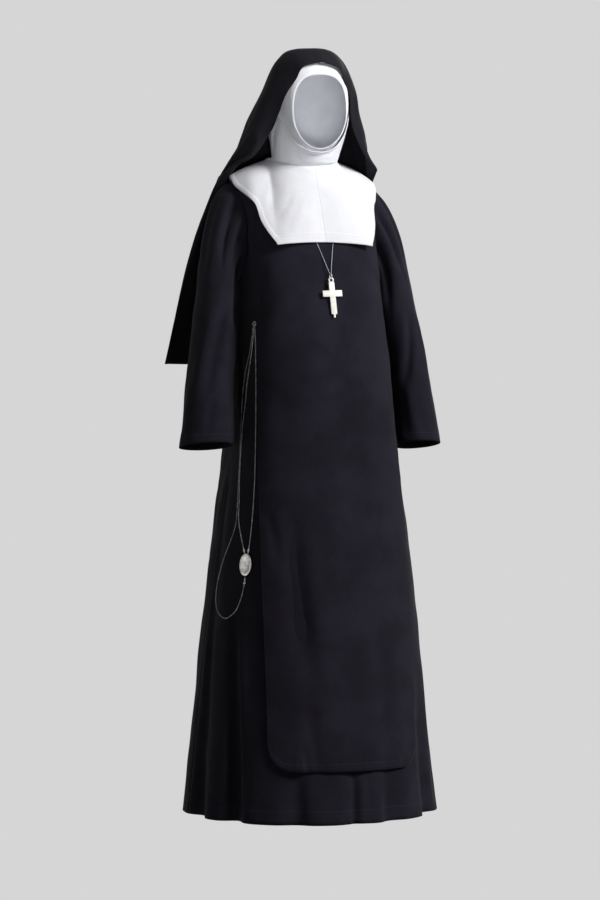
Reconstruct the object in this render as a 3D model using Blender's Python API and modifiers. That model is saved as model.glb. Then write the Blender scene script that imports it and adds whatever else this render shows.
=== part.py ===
"""A worn nun habit as a hollow garment: tunic, sleeves, scapular, guimpe, coif, veil, cross and rosary.

Metres, +Z up. The origin lies between the shoulders at their height, the front faces -Y and
the wearer's left is +X. In the comments "forward" is -Y.
"""
import math

import bmesh
import bpy
import numpy as np
from mathutils import Vector

# Driving sizes of the cloth
TUNIC_WALL = 0.002
SCAPULAR_WALL = 0.002
GUIMPE_WALL = 0.0015
COIF_WALL = 0.0016
VEIL_WALL = 0.0018
SEAM_GAP = 0.0006
SHOULDER_GAP = 0.0015
SCAPULAR_OUT = 0.0053
GUIMPE_OUT = 0.0103
BACK_EASE = 0.0030
BACK_EASE_LENGTH = 0.3
GUIMPE_BACK_EASE = 0.0068
CHEST_Z = -0.20
HEM_Z = -1.293
SCAPULAR_HEM_Z = -1.188
BIB_HEM_Z = -0.134
BIB_HEM_BOW = 0.006
BIB_STAND = 0.018
NECK_SHARE = 0.46

# Rows down the yoke that every layer shares, and the number of rows below the chest
YOKE_STOPS = (0.0, 0.04, 0.09, 0.15, 0.22, 0.30, 0.40, 0.52, 0.68, 0.84, 1.0)
SKIRT_ROWS = 13
BACK_ROWS = 8
BIB_STOPS = (0.0, 0.06, 0.136, 0.227, 0.333, 0.455, 0.606, 0.79, 1.0)
GUIMPE_BACK_STOPS = (0.0, 0.06, 0.136, 0.227, 0.48, 0.72, 1.0)
COIF_STOPS = (0.0, 0.04, 0.10, 0.18, 0.28, 0.40, 0.53, 0.66, 0.78, 0.90)
NECK_STOPS = (0.0, 0.2, 0.4, 0.55, 0.8, 1.0)
VEIL_STOPS = (0.0, 0.035, 0.08, 0.13, 0.19, 0.25, 0.32, 0.39, 0.46, 0.53, 0.60, 0.68, 0.76, 0.84, 0.92, 1.0)
SLEEVE_STOPS = (0.0, 0.05, 0.12, 0.20, 0.29, 0.38, 0.46, 0.56, 0.65, 0.74, 0.83, 0.92, 1.0)

# Columns across the cloth
COLUMN_LEAST = 0.028
FRONT_COLUMN_WIDEST = 0.10
BACK_COLUMN_WIDEST = 0.13
CORNER_CLEAR = 0.04
FOLD_SHOULDER = 1.3
SEAM_CLEAR = 2.0
HEAD_COLUMNS = 24
CORNER_TURNS = (0, 30, 55, 75, 90)

# The tunic's level sections
# Columns: z, half width, side seam's forward place, front, back, squareness
BODY_SECTIONS = (
    (-0.200, 0.142, 0.000, 0.143, -0.104, 2.8),
    (-0.280, 0.147, 0.004, 0.163, -0.104, 2.8),
    (-0.385, 0.156, 0.012, 0.181, -0.108, 2.8),
    (-0.535, 0.167, 0.020, 0.197, -0.124, 2.8),
    (-0.650, 0.187, 0.027, 0.211, -0.146, 2.5),
    (-0.850, 0.217, 0.031, 0.241, -0.176, 2.1),
    (-1.070, 0.243, 0.031, 0.264, -0.202, 2.0),
    (-1.293, 0.267, 0.031, 0.288, -0.226, 2.0),
)

# Hem folds that run up the skirt
# Columns: angle from the front in degrees (+ to the wearer's left), depth at the hem,
# half width in degrees, height where it dies out
SKIRT_FOLDS = (
    (-81.0, 0.020, 6.0, -0.90),
    (-56.0, 0.026, 5.5, -0.93),
    (-26.0, 0.010, 6.0, -1.10),
    (2.0, 0.012, 6.0, -1.08),
    (21.0, 0.012, 6.0, -1.10),
    (50.0, 0.022, 6.0, -0.95),
    (76.0, 0.020, 6.0, -0.88),
    (104.0, 0.018, 6.5, -0.90),
    (131.0, 0.026, 7.0, -0.80),
    (160.0, 0.024, 7.0, -0.86),
    (188.0, 0.024, 7.0, -0.82),
    (216.0, 0.026, 7.0, -0.86),
    (246.0, 0.020, 6.5, -0.90),
)

# Where the scapular's edge lies on the tunic
# Columns: z, share of the way from centre to side seam
SCAPULAR_EDGE = (
    (-0.200, 0.655),
    (-0.385, 0.625),
    (-0.535, 0.590),
    (-0.690, 0.535),
    (-0.850, 0.492),
    (-1.070, 0.440),
    (-1.293, 0.405),
)

# The yoke's edge on the shoulders and at the neck
NECK_HALF = 0.070
NECK_Y = -0.025
NECK_Z = 0.044
NECK_FRONT_DEPTH = 0.076
NECK_FRONT_DROP = 0.020
NECK_BACK_DEPTH = 0.050
NECK_BACK_RISE = 0.006
SHOULDER_CROWN = 0.004
SHOULDER_TIP = Vector((0.158, -0.035, 0.004))

# Directions in which the cloth leaves the neck and shoulder
# Columns: share from centre to tip, out, forward, up
LEAVE_FRONT = (
    (0.00, 0.000, 0.095, -0.200),
    (0.46, 0.040, 0.200, -0.070),
    (0.80, 0.000, 0.285, -0.015),
    (1.00, -0.050, 0.260, -0.030),
)
LEAVE_BACK = (
    (0.00, 0.000, -0.120, -0.120),
    (0.46, 0.030, -0.200, -0.060),
    (0.80, 0.000, -0.250, -0.015),
    (1.00, -0.040, -0.235, -0.030),
)
ARRIVE_FRONT = Vector((0.045, -0.15, -0.14))
ARRIVE_BACK = Vector((0.040, 0.13, -0.14))
ARRIVE_STEP = 0.02
ARRIVE_LENGTH = 0.205
ARRIVE_EDGE_SHARE = 0.62

# The sleeves below the armhole
# Columns: z, centre out, centre forward, half width across, half width front to back, slant
SLEEVE_RIGHT = (
    (-0.245, 0.194, 0.008, 0.0450, 0.056, 0.000),
    (-0.385, 0.213, 0.028, 0.0500, 0.056, 0.004),
    (-0.470, 0.224, 0.044, 0.0540, 0.056, 0.008),
    (-0.540, 0.2325, 0.058, 0.0575, 0.057, 0.010),
)
SLEEVE_LEFT = (
    (-0.245, 0.195, 0.008, 0.0430, 0.056, 0.000),
    (-0.385, 0.2165, 0.028, 0.0440, 0.056, 0.004),
    (-0.470, 0.2240, 0.044, 0.0460, 0.055, 0.008),
    (-0.540, 0.2290, 0.058, 0.0490, 0.054, 0.010),
)

# The head coverings' level sections
# Columns: rank from crown (0) to hem (1), z, half width, centre's forward place, depth forward, depth back
COIF_SECTIONS = (
    (0.00, 0.268, 0.000, 0.030, 0.000, 0.000),
    (0.12, 0.263, 0.034, 0.031, 0.032, 0.036),
    (0.24, 0.248, 0.056, 0.032, 0.052, 0.064),
    (0.36, 0.218, 0.071, 0.030, 0.066, 0.088),
    (0.50, 0.170, 0.078, 0.025, 0.073, 0.098),
    (0.64, 0.120, 0.075, 0.020, 0.075, 0.092),
    (0.80, 0.078, 0.067, 0.010, 0.070, 0.076),
    (1.00, 0.046, 0.061, 0.000, 0.062, 0.064),
)
VEIL_SECTIONS = (
    (0.00, 0.2780, 0.000, 0.028, 0.000, 0.000),
    (0.12, 0.2735, 0.042, 0.030, 0.040, 0.045),
    (0.22, 0.2560, 0.064, 0.033, 0.060, 0.075),
    (0.30, 0.2310, 0.080, 0.036, 0.072, 0.098),
    (0.40, 0.1900, 0.096, 0.031, 0.080, 0.116),
    (0.50, 0.1410, 0.114, 0.010, 0.085, 0.112),
    (0.60, 0.0850, 0.136, -0.006, 0.080, 0.106),
    (0.72, 0.0100, 0.165, -0.058, 0.060, 0.072),
    (0.80, -0.0730, 0.189, -0.099, 0.050, 0.044),
    (0.90, -0.2100, 0.230, -0.108, 0.045, 0.050),
    (1.00, -0.3720, 0.262, -0.130, 0.045, 0.048),
)

# The veil's front edge, from the forehead's middle down to the shoulder
# Columns: share of the edge, x, forward, z
VEIL_EDGE = (
    (0.000, 0.0000, 0.104, 0.2450),
    (0.125, 0.0380, 0.099, 0.2335),
    (0.250, 0.0525, 0.092, 0.2070),
    (0.375, 0.0695, 0.079, 0.1770),
    (0.500, 0.0785, 0.061, 0.1400),
    (0.625, 0.0920, 0.050, 0.1030),
    (0.750, 0.1270, 0.033, 0.0520),
    (0.875, 0.1605, 0.000, 0.0345),
    (1.000, 0.1690, -0.058, 0.0175),
)
VEIL_HEM_ANGLE = 88.0
VEIL_COLUMNS = 32
VEIL_SETTLE = 0.22

# The face opening, an upright oval in front of the head
FACE_HALF_WIDTH = 0.0572
FACE_TOP_Z = 0.2180
FACE_BOTTOM_Z = 0.0700
FACE_FORWARD_TOP = 0.101
FACE_FORWARD_SIDE = 0.0925
FACE_FORWARD_CHIN = 0.090

# Neck of the guimpe: where its upper edge crosses the coif
# Columns: turn from chin (0) to nape (180), share of the coif's depth
NECK_RISE = (
    (0.0, 0.10),
    (40.0, 0.17),
    (80.0, 0.26),
    (120.0, 0.50),
    (150.0, 0.72),
    (180.0, 0.80),
)
NECK_OUT = 0.0062
NECK_TURN_SHARE = 0.55
NECK_COIF_END = 0.93
NECK_BEND = 0.03
NECK_STEP = 0.02
NECK_FLARE = 0.5
NECK_ARRIVE = 0.8
NECK_SEAM = 0.0024
COIF_SETTLE = 0.35
COIF_FLOW = 0.42

# Scapular and guimpe outlines
SCAPULAR_SHOULDER_HALF = 0.150
SCAPULAR_HALF_WIDTH = 0.175
SCAPULAR_FLOW_FRONT = (0.02, -0.75)
SCAPULAR_FLOW_BACK = (-0.60, -0.40)
CORNER_RADIUS = 0.050
BIB_SHOULDER_HALF = 0.1485
BIB_HEM_SHARE = 0.45
BIB_FLOW_START = 0.22
BIB_FLOW_POWER = 1.3
GUIMPE_BACK_Z = -0.085
GUIMPE_BACK_TAPER = 0.72

# The sleeve's head, between armhole and first ring
SLEEVE_HEAD_SHARE = 0.46
SLEEVE_SEAM = 0.0014
SLEEVE_COLUMNS_AROUND = 18
HEAD_LEAVE_TOP = Vector((0.155, 0.010, -0.090))
HEAD_LEAVE_LOW = Vector((0.065, 0.000, -0.012))
HEAD_LEAVE_SIDE = 0.012
HEAD_LEAVE_DROP = 0.060

# Cross, ring and cord. The swing axis is the ring's lowest wire.
SWING_Z = -0.2034
PENDANT_OUT = 0.0078
CROSS_TOP_DROP = 0.0073
CROSS_LENGTH = 0.0643
CROSS_MEMBER = 0.0125
CROSS_BAR = 0.042
CROSS_BAR_HEIGHT = 0.0132
CROSS_BAR_DROP = 0.0298
CROSS_THICK = 0.0034
CROSS_EDGE = 0.0006
CROSS_LEAN = 2.0
EYELET_JOIN = 0.005
FINIAL_NECK = 0.0028
FINIAL_RADIUS = 0.0020
FINIAL_DROP = 0.0066
EYELET_RADIUS = 0.0060
EYELET_HOLE = 0.0030
EYELET_TURNS = range(-130, 131, 20)
FINIAL_TURNS = range(-90, 91, 30)
HANG_DROP = 0.0019
RING_RADIUS = 0.0060
RING_WIRE = 0.0008
CORD_DIAMETER = 0.0014
CORD_STEP = 4.5
CHEST_ABOVE = 0.02
CHEST_BELOW = 0.20
CHEST_REACH = 0.16

# The neck cord from under the bib to the ring's top and back
# Columns: x, z, distance off the scapular
CORD_ROUTE = (
    (-0.0300, -0.103, 0.0006),
    (-0.0250, -0.115, 0.0006),
    (-0.0195, -0.128, 0.0008),
    (-0.0148, -0.144, 0.0020),
    (-0.0100, -0.161, 0.0036),
    (-0.0054, -0.178, 0.0058),
    (-0.0024, -0.1912, 0.0083),
    (0.0000, -0.1965, 0.0088),
    (0.0020, -0.1912, 0.0083),
    (0.0046, -0.178, 0.0058),
    (0.0086, -0.161, 0.0036),
    (0.0125, -0.144, 0.0020),
    (0.0164, -0.128, 0.0008),
    (0.0200, -0.115, 0.0006),
    (0.0240, -0.103, 0.0006),
)

# Rosary
CHAIN_DIAMETER = 0.0024
CHAIN_STEP = 5.2
CHAIN_OFF = 0.0026
MEDAL_ANGLE = -56.3
MEDAL_Z = -0.778
MEDAL_HALF_WIDTH = 0.0145
MEDAL_HALF_HEIGHT = 0.022
MEDAL_THICK = 0.0026
MEDAL_OFF = 0.0030
MEDAL_EDGE = 0.0007
MEDAL_SIDES = 28
MEDAL_PROBE = 0.02
HOOK_ANGLE = -61.3
HOOK_Z = -0.291
HOOK_RADIUS = 0.0045
HOOK_WIRE = 0.0012
HOOK_CLEAR = 0.0004

# The three strands on the skirt, from the hook down to the medal
# Columns: angle from the front in degrees, z
CHAIN_A = (
    (-62.3, -0.2970),
    (-62.6, -0.310),
    (-63.6, -0.330),
    (-65.4, -0.352),
    (-68.6, -0.380),
    (-70.9, -0.408),
    (-72.4, -0.444),
    (-72.9, -0.501),
    (-70.8, -0.564),
    (-68.0, -0.628),
    (-66.6, -0.684),
    (-67.9, -0.712),
    (-72.5, -0.746),
    (-76.5, -0.775),
    (-79.8, -0.812),
    (-80.4, -0.841),
    (-78.5, -0.867),
    (-74.2, -0.882),
    (-69.0, -0.888),
    (-64.8, -0.882),
    (-61.0, -0.869),
    (-58.6, -0.850),
    (-57.0, -0.828),
    (-56.4, -0.810),
    (-56.3, -0.8006),
)
CHAIN_B = (
    (-61.3, -0.2972),
    (-61.5, -0.312),
    (-62.2, -0.335),
    (-63.6, -0.363),
    (-66.6, -0.410),
    (-68.0, -0.450),
    (-70.6, -0.500),
    (-70.6, -0.540),
    (-68.2, -0.600),
    (-65.6, -0.650),
    (-64.4, -0.688),
    (-61.4, -0.719),
    (-58.6, -0.744),
    (-57.4, -0.7558),
)
CHAIN_C = (
    (-60.3, -0.2970),
    (-59.9, -0.309),
    (-59.1, -0.325),
    (-58.3, -0.363),
    (-57.4, -0.403),
    (-56.9, -0.443),
    (-55.9, -0.524),
    (-54.2, -0.595),
    (-53.4, -0.651),
    (-53.7, -0.699),
    (-54.4, -0.735),
    (-55.2, -0.7558),
)


def clear_scene():
    for obj in list(bpy.data.objects):
        bpy.data.objects.remove(obj, do_unlink=True)


def smooth(x):
    x = min(max(x, 0.0), 1.0)
    return x * x * (3.0 - 2.0 * x)


def row_at(table, key):
    """The table's row at this key, on a smooth curve through its rows (keys in the first column)."""
    rows = sorted(table)
    if key <= rows[0][0]:
        return rows[0][1:]
    if key >= rows[-1][0]:
        return rows[-1][1:]
    i = max(n for n in range(len(rows) - 1) if rows[n][0] <= key)
    a, b = rows[i], rows[i + 1]
    before = rows[i - 1] if i > 0 else a
    after = rows[i + 2] if i + 2 < len(rows) else b
    width = b[0] - a[0]
    t = (key - a[0]) / width
    values = []
    for c in range(1, len(a)):
        slope_a = (b[c] - before[c]) / (b[0] - before[0]) * width
        slope_b = (after[c] - a[c]) / (after[0] - a[0]) * width
        values.append(hermite(a[c], b[c], slope_a, slope_b, t))
    return tuple(values)


def hermite(a, b, slope_a, slope_b, t):
    t2 = t * t
    t3 = t2 * t
    return (
        (2 * t3 - 3 * t2 + 1) * a
        + (t3 - 2 * t2 + t) * slope_a
        + (3 * t2 - 2 * t3) * b
        + (t3 - t2) * slope_b
    )


def place(x, forward, z):
    """A point from its forward distance, which is -Y."""
    return Vector((x, -forward, z))


def skirt_point(angle, z, folds=True):
    """The tunic below the chest: angle in degrees from the front, + to the wearer's left."""
    half, seam, front, back, square = row_at(BODY_SECTIONS, z)
    turn = math.radians(angle)
    side = abs(math.sin(turn))
    along = abs(math.cos(turn))
    reach = (side**square + along**square) ** (-1.0 / square)
    depth = front - seam if math.cos(turn) >= 0 else seam - back
    if folds:
        reach *= 1.0 - fold_depth(angle, z) / half
    x = half * reach * math.sin(turn)
    forward = seam + depth * reach * math.cos(turn)
    return place(x, forward, z)


def fold_depth(angle, z):
    total = 0.0
    for at, depth, spread, top in SKIRT_FOLDS:
        away = (angle - at + 180.0) % 360.0 - 180.0
        if abs(away) > 4 * spread:
            continue
        grown = smooth((top - z) / (top - HEM_Z)) if z < top else 0.0
        total += depth * grown * math.exp(-((away / spread) ** 2))
    return total


def yoke_top(share, facing):
    """Neckline, then shoulder seam, from the centre (0) to the shoulder tip (1)."""
    if share <= NECK_SHARE:
        turn = math.radians(90.0) * share / NECK_SHARE
        if facing > 0:
            forward = NECK_Y + NECK_FRONT_DEPTH * math.cos(turn)
            z = NECK_Z - NECK_FRONT_DROP * math.cos(turn) ** 1.5
        else:
            forward = NECK_Y - NECK_BACK_DEPTH * math.cos(turn)
            z = NECK_Z + NECK_BACK_RISE * math.cos(turn)
        return Vector((NECK_HALF * math.sin(turn), forward, z))
    t = (share - NECK_SHARE) / (1.0 - NECK_SHARE)
    neck_point = Vector((NECK_HALF, NECK_Y, NECK_Z))
    point = neck_point.lerp(SHOULDER_TIP, t)
    point.z += SHOULDER_CROWN * math.sin(math.pi * t)
    return point


def yoke_point(share, t, facing):
    """The tunic above the chest, as (out, forward, up): share 0 centre to 1 armhole, t 0 top to 1 chest."""
    top = yoke_top(share, facing)
    angle = 90.0 * share if facing > 0 else 180.0 - 90.0 * share
    low = skirt_point(angle, CHEST_Z, folds=False)
    below = skirt_point(angle, CHEST_Z - ARRIVE_STEP, folds=False)
    bottom = Vector((low.x, -low.y, low.z))
    arrive = Vector((below.x - low.x, -(below.y - low.y), below.z - low.z))
    arrive *= ARRIVE_LENGTH / ARRIVE_STEP
    edge = ARRIVE_FRONT if facing > 0 else ARRIVE_BACK
    arrive = arrive.lerp(edge, smooth((share - ARRIVE_EDGE_SHARE) / (1.0 - ARRIVE_EDGE_SHARE)))
    leave = Vector(row_at(LEAVE_FRONT if facing > 0 else LEAVE_BACK, share))
    return Vector(hermite(top[i], bottom[i], leave[i], arrive[i], t) for i in range(3))


def body_point(across, down, facing, folds=True):
    """The tunic's outer face. across -1..1 from the wearer's right seam to the left; down 0..1 yoke, 1..2 skirt."""
    side = 1.0 if across >= 0 else -1.0
    share = min(abs(across), 1.0)
    if down <= 1.0:
        p = yoke_point(share, max(down, 0.0), facing)
        return place(side * p.x, p.y, p.z)
    z = CHEST_Z + (HEM_Z - CHEST_Z) * (down - 1.0)
    angle = side * (90.0 * share if facing > 0 else 180.0 - 90.0 * share)
    return skirt_point(angle, z, folds)


def down_at(z):
    """The skirt's down value at a height below the chest."""
    return 1.0 + (z - CHEST_Z) / (HEM_Z - CHEST_Z)


def moved_out(surface, a, b, distance, step=0.004):
    """A point of surface(a, b) moved along its normal. The cloth's outer side is positive."""
    point = surface(a, b)
    along = surface(a + step, b) - surface(a - step, b)
    down = surface(a, b + step) - surface(a, b - step)
    normal = down.cross(along)
    if normal.length < 1e-12:
        return point
    return point + normal.normalized() * distance


def new_grid(name, columns, rows, point_at, wall, collection, material):
    """A sheet from Blender's grid: point_at(u, v) gives each corner, u and v run 0..1. It gets its wall inwards."""
    mesh = bpy.data.meshes.new(name)
    bm = bmesh.new()
    bmesh.ops.create_grid(bm, x_segments=columns, y_segments=rows, size=0.5)
    for vertex in bm.verts:
        u = vertex.co.x + 0.5
        v = 0.5 - vertex.co.y
        vertex.co = point_at(u, v)
    bmesh.ops.remove_doubles(bm, verts=bm.verts, dist=1e-6)
    bm.to_mesh(mesh)
    bm.free()
    obj = bpy.data.objects.new(name, mesh)
    collection.objects.link(obj)
    obj.data.materials.append(material)
    obj.data.shade_smooth()
    add_wall(obj, wall)
    return obj


def add_wall(obj, wall):
    solidify = obj.modifiers.new("Wall", "SOLIDIFY")
    solidify.thickness = wall
    solidify.offset = -1.0
    solidify.use_quality_normals = True


def new_material(name, colour, roughness, metallic=0.0):
    material = bpy.data.materials.new(name)
    material.use_nodes = True
    shader = material.node_tree.nodes["Principled BSDF"]
    shader.inputs["Base Color"].default_value = (*colour, 1.0)
    shader.inputs["Roughness"].default_value = roughness
    shader.inputs["Metallic"].default_value = metallic
    return material


def spaced(u, stops):
    """u 0..1 sent to a list of stops, evenly by index, so that rows and columns can crowd where folds are."""
    at = u * (len(stops) - 1)
    i = min(int(at), len(stops) - 2)
    return stops[i] + (stops[i + 1] - stops[i]) * (at - i)


def near_corner(stop):
    """Whether a column is so close to the neck's corner that the corner's own column takes its place."""
    return abs(abs(stop) - NECK_SHARE) < CORNER_CLEAR


def fold_columns(facing):
    """Column places across a half tunic, with one on each fold's bottom and two beside it."""
    stops = set()
    for angle, _, spread, _ in SKIRT_FOLDS:
        for step in (-FOLD_SHOULDER, 0.0, FOLD_SHOULDER):
            turn = (angle + step * spread + 180.0) % 360.0 - 180.0
            if facing > 0 and abs(turn) < 90.0 - SEAM_CLEAR:
                stops.add(round(turn / 90.0, 4))
            if facing < 0 and abs(turn) > 90.0 + SEAM_CLEAR:
                across = (180.0 - abs(turn)) / 90.0
                stops.add(round(math.copysign(across, turn), 4))
    stops = {stop for stop in stops if not near_corner(stop)}
    filled = sorted(stops | {-1.0, -NECK_SHARE, NECK_SHARE, 1.0})
    kept = [filled[0]]
    widest = FRONT_COLUMN_WIDEST if facing > 0 else BACK_COLUMN_WIDEST
    for stop in filled[1:]:
        if stop - kept[-1] < COLUMN_LEAST and stop < 1.0:
            continue
        while stop - kept[-1] > widest:
            kept.append(kept[-1] + (stop - kept[-1]) / math.ceil((stop - kept[-1]) / widest))
        kept.append(stop)
    if kept[-1] - kept[-2] < COLUMN_LEAST:
        kept.pop(-2)
    return kept


def tunic_panel(facing, collection, material):
    name = "tunic_front" if facing > 0 else "tunic_back"
    columns = fold_columns(facing)
    rows = list(YOKE_STOPS[1:]) + [1.0 + i / SKIRT_ROWS for i in range(1, SKIRT_ROWS + 1)]

    def point_at(u, v):
        down = spaced(v, rows)
        z = CHEST_Z + (HEM_Z - CHEST_Z) * max(down - 1.0, 0.0)
        quarter = math.pi / 2 * row_at(BODY_SECTIONS, z)[0]
        across = spaced(u, columns) * (1.0 - SEAM_GAP / quarter)
        point = body_point(across, down, facing)
        if down < 1.0 and abs(across) > NECK_SHARE:
            point.y += -facing * SEAM_GAP * (1.0 - down)
        return point

    if facing < 0:
        return new_grid(name, len(columns) - 1, len(rows) - 1, lambda u, v: point_at(1.0 - u, v),
                        TUNIC_WALL, collection, material)
    return new_grid(name, len(columns) - 1, len(rows) - 1, point_at, TUNIC_WALL, collection, material)


def t_at(share, z, facing):
    """How far down the yoke (0..1) the cloth reaches a height."""
    low, high = 0.0, 1.0
    for _ in range(24):
        middle = (low + high) / 2
        if yoke_point(share, middle, facing).z > z:
            low = middle
        else:
            high = middle
    return (low + high) / 2


def shoulder_share(x):
    """The yoke's share where the shoulder seam is this far out."""
    return NECK_SHARE + (1.0 - NECK_SHARE) * (x - NECK_HALF) / (SHOULDER_TIP.x - NECK_HALF)


def scapular_share(down, facing):
    """Half the scapular's width at this distance down, as a share of the tunic's half."""
    chest = row_at(SCAPULAR_EDGE, CHEST_Z)[0]
    if down <= 1.0:
        top = shoulder_share(SCAPULAR_SHOULDER_HALF)
        leave, arrive = SCAPULAR_FLOW_FRONT if facing > 0 else SCAPULAR_FLOW_BACK
        return hermite(top, chest, leave, arrive, max(down, 0.0))
    z = CHEST_Z + (HEM_Z - CHEST_Z) * (down - 1.0)
    return row_at(SCAPULAR_EDGE, z)[0]


def on_body(across, down, facing, out):
    """The plain tunic's face, moved out by a distance."""
    return moved_out(lambda a, b: body_point(a, b, facing, folds=False), across, down, facing * out)


def shoulder_seam(share, facing, out):
    """Where a layer's front and back meet on the shoulder, each half a gap to its own side."""
    middle = (on_body(share, 0.0, 1, out) + on_body(share, 0.0, -1, out)) / 2
    middle.y -= facing * SHOULDER_GAP / 2
    return middle


def scapular_panel(facing, collection, material):
    name = "scapular_front" if facing > 0 else "scapular_back"
    half = SCAPULAR_HALF_WIDTH
    inner = (half - CORNER_RADIUS) / half
    neck = NECK_SHARE / shoulder_share(SCAPULAR_SHOULDER_HALF)
    sides = [0.0, neck / 3, neck * 2 / 3, neck, (neck + inner) / 2]
    sides += [inner + (1.0 - inner) * math.sin(math.radians(turn)) for turn in CORNER_TURNS]
    columns = sorted({-s for s in sides} | set(sides))
    count = SKIRT_ROWS if facing > 0 else BACK_ROWS
    rows = list(YOKE_STOPS[1:]) + [1.0 + i / count for i in range(1, count + 1)]

    def point_at(u, v):
        across = spaced(u if facing > 0 else 1.0 - u, columns)
        past = max(abs(across) * half - (half - CORNER_RADIUS), 0.0)
        rise = CORNER_RADIUS - math.sqrt(max(CORNER_RADIUS**2 - past**2, 0.0))
        last = down_at(SCAPULAR_HEM_Z + rise)
        down = spaced(v, rows)
        if down > 1.0:
            down = 1.0 + (down - 1.0) * (last - 1.0)
        share = across * scapular_share(down, facing)
        if v == 0.0 and abs(share) > NECK_SHARE + 0.01:
            return shoulder_seam(share, facing, SCAPULAR_OUT)
        out = SCAPULAR_OUT if facing > 0 else SCAPULAR_OUT + BACK_EASE * smooth(down / BACK_EASE_LENGTH)
        return on_body(share, down, facing, out)

    return new_grid(name, len(columns) - 1, len(rows) - 1, point_at, SCAPULAR_WALL, collection, material)


def bib_point(across, v, facing):
    """The guimpe's flat part: across -1..1, v 0 at the neck to 1 at its hem."""
    side = abs(across)
    top = shoulder_share(BIB_SHOULDER_HALF)
    if facing > 0:
        low_share = BIB_HEM_SHARE
        hem_z = BIB_HEM_Z + BIB_HEM_BOW * (1.0 - side**2)
        stand = BIB_STAND * side**2 * smooth(v) ** 1.5
        narrowed = (max(v - BIB_FLOW_START, 0.0) / (1.0 - BIB_FLOW_START)) ** BIB_FLOW_POWER
    else:
        low_share = top * GUIMPE_BACK_TAPER
        hem_z = GUIMPE_BACK_Z
        stand = 0.0
        narrowed = v
    low = t_at(side * low_share, hem_z, facing)
    share = side * (top + (low_share - top) * narrowed)
    out = GUIMPE_OUT if facing > 0 else GUIMPE_OUT + GUIMPE_BACK_EASE * smooth(v * 2.0)
    point = on_body(math.copysign(share, across), low * v, facing, out)
    point.y -= facing * stand
    return point


def guimpe_panel(facing, collection, material):
    name = "guimpe_front" if facing > 0 else "guimpe_back"
    neck = NECK_SHARE / shoulder_share(BIB_SHOULDER_HALF)
    sides = [neck * i / 3 for i in range(4)] + [neck + (1.0 - neck) * i / 4 for i in range(1, 5)]
    columns = sorted({-s for s in sides} | set(sides))
    rows = BIB_STOPS if facing > 0 else GUIMPE_BACK_STOPS

    def point_at(u, v):
        across = spaced(u, columns)
        down = spaced(v, rows)
        share = across * shoulder_share(BIB_SHOULDER_HALF)
        if v == 0.0 and abs(share) > NECK_SHARE + 0.01:
            return shoulder_seam(share * facing, facing, GUIMPE_OUT)
        return bib_point(across * facing, down, facing)

    return new_grid(name, len(columns) - 1, len(rows) - 1, point_at, GUIMPE_WALL, collection, material)


def head_section(table, rank):
    return row_at(table, min(max(rank, 0.0), 1.0))


def head_point(table, xi, eta):
    """The head covering's face from flat coordinates: rank from the crown, xi to the left, eta forward."""
    rank = math.hypot(xi, eta)
    z, half, centre, front, back = head_section(table, rank)
    if rank < 1e-9:
        return place(0.0, centre, z)
    depth = front if eta >= 0 else back
    return place(half * xi / rank, centre + depth * eta / rank, z)


def rank_at(table, z):
    low, high = 0.0, 1.0
    for _ in range(24):
        middle = (low + high) / 2
        if head_section(table, middle)[0] > z:
            low = middle
        else:
            high = middle
    return (low + high) / 2


def flat_of(table, point):
    """Flat coordinates whose head_point lies in this direction at this height."""
    rank = rank_at(table, point.z)
    _, half, centre, front, back = head_section(table, rank)
    forward = -point.y - centre
    depth = front if forward >= 0 else back
    turn = math.atan2(point.x / half, forward / depth)
    return rank * math.sin(turn), rank * math.cos(turn)


def face_edge(turn):
    """The face opening's edge: turn in degrees, 0 at the chin, 180 at the forehead, + to the wearer's left."""
    t = math.radians(turn)
    middle = (FACE_TOP_Z + FACE_BOTTOM_Z) / 2
    half_height = (FACE_TOP_Z - FACE_BOTTOM_Z) / 2
    z = middle - half_height * math.cos(t)
    end = FACE_FORWARD_TOP if math.cos(t) < 0 else FACE_FORWARD_CHIN
    forward = FACE_FORWARD_SIDE + (end - FACE_FORWARD_SIDE) * math.cos(t) ** 2
    return place(FACE_HALF_WIDTH * math.sin(t), forward, z)


def coif_point(turn, w):
    """The coif's face from the opening (w 0) over the head to the neck (w 1)."""
    edge = face_edge(turn)
    xi0, eta0 = flat_of(COIF_SECTIONS, edge)
    t = math.radians(turn)
    t += COIF_FLOW * math.sin(t)
    xi = xi0 + (math.sin(t) - xi0) * w
    eta = eta0 + (math.cos(t) - eta0) * w
    settle = 1.0 - smooth(w / COIF_SETTLE)
    return head_point(COIF_SECTIONS, xi, eta) + (edge - head_point(COIF_SECTIONS, xi0, eta0)) * settle


def coif_piece(collection, material):
    def point_at(u, v):
        return coif_point(360.0 * u - 180.0, spaced(v, COIF_STOPS))

    return new_grid("coif", HEAD_COLUMNS, len(COIF_STOPS) - 1, point_at, COIF_WALL, collection, material)


def neckline(turn, out):
    """The bib's inner edge, by turn from the front middle."""
    share = NECK_SHARE * (1.0 - abs(abs(turn) - 90.0) / 90.0)
    facing = 1 if abs(turn) <= 90.0 else -1
    return on_body(math.copysign(share, turn), 0.0, facing, out)


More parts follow.
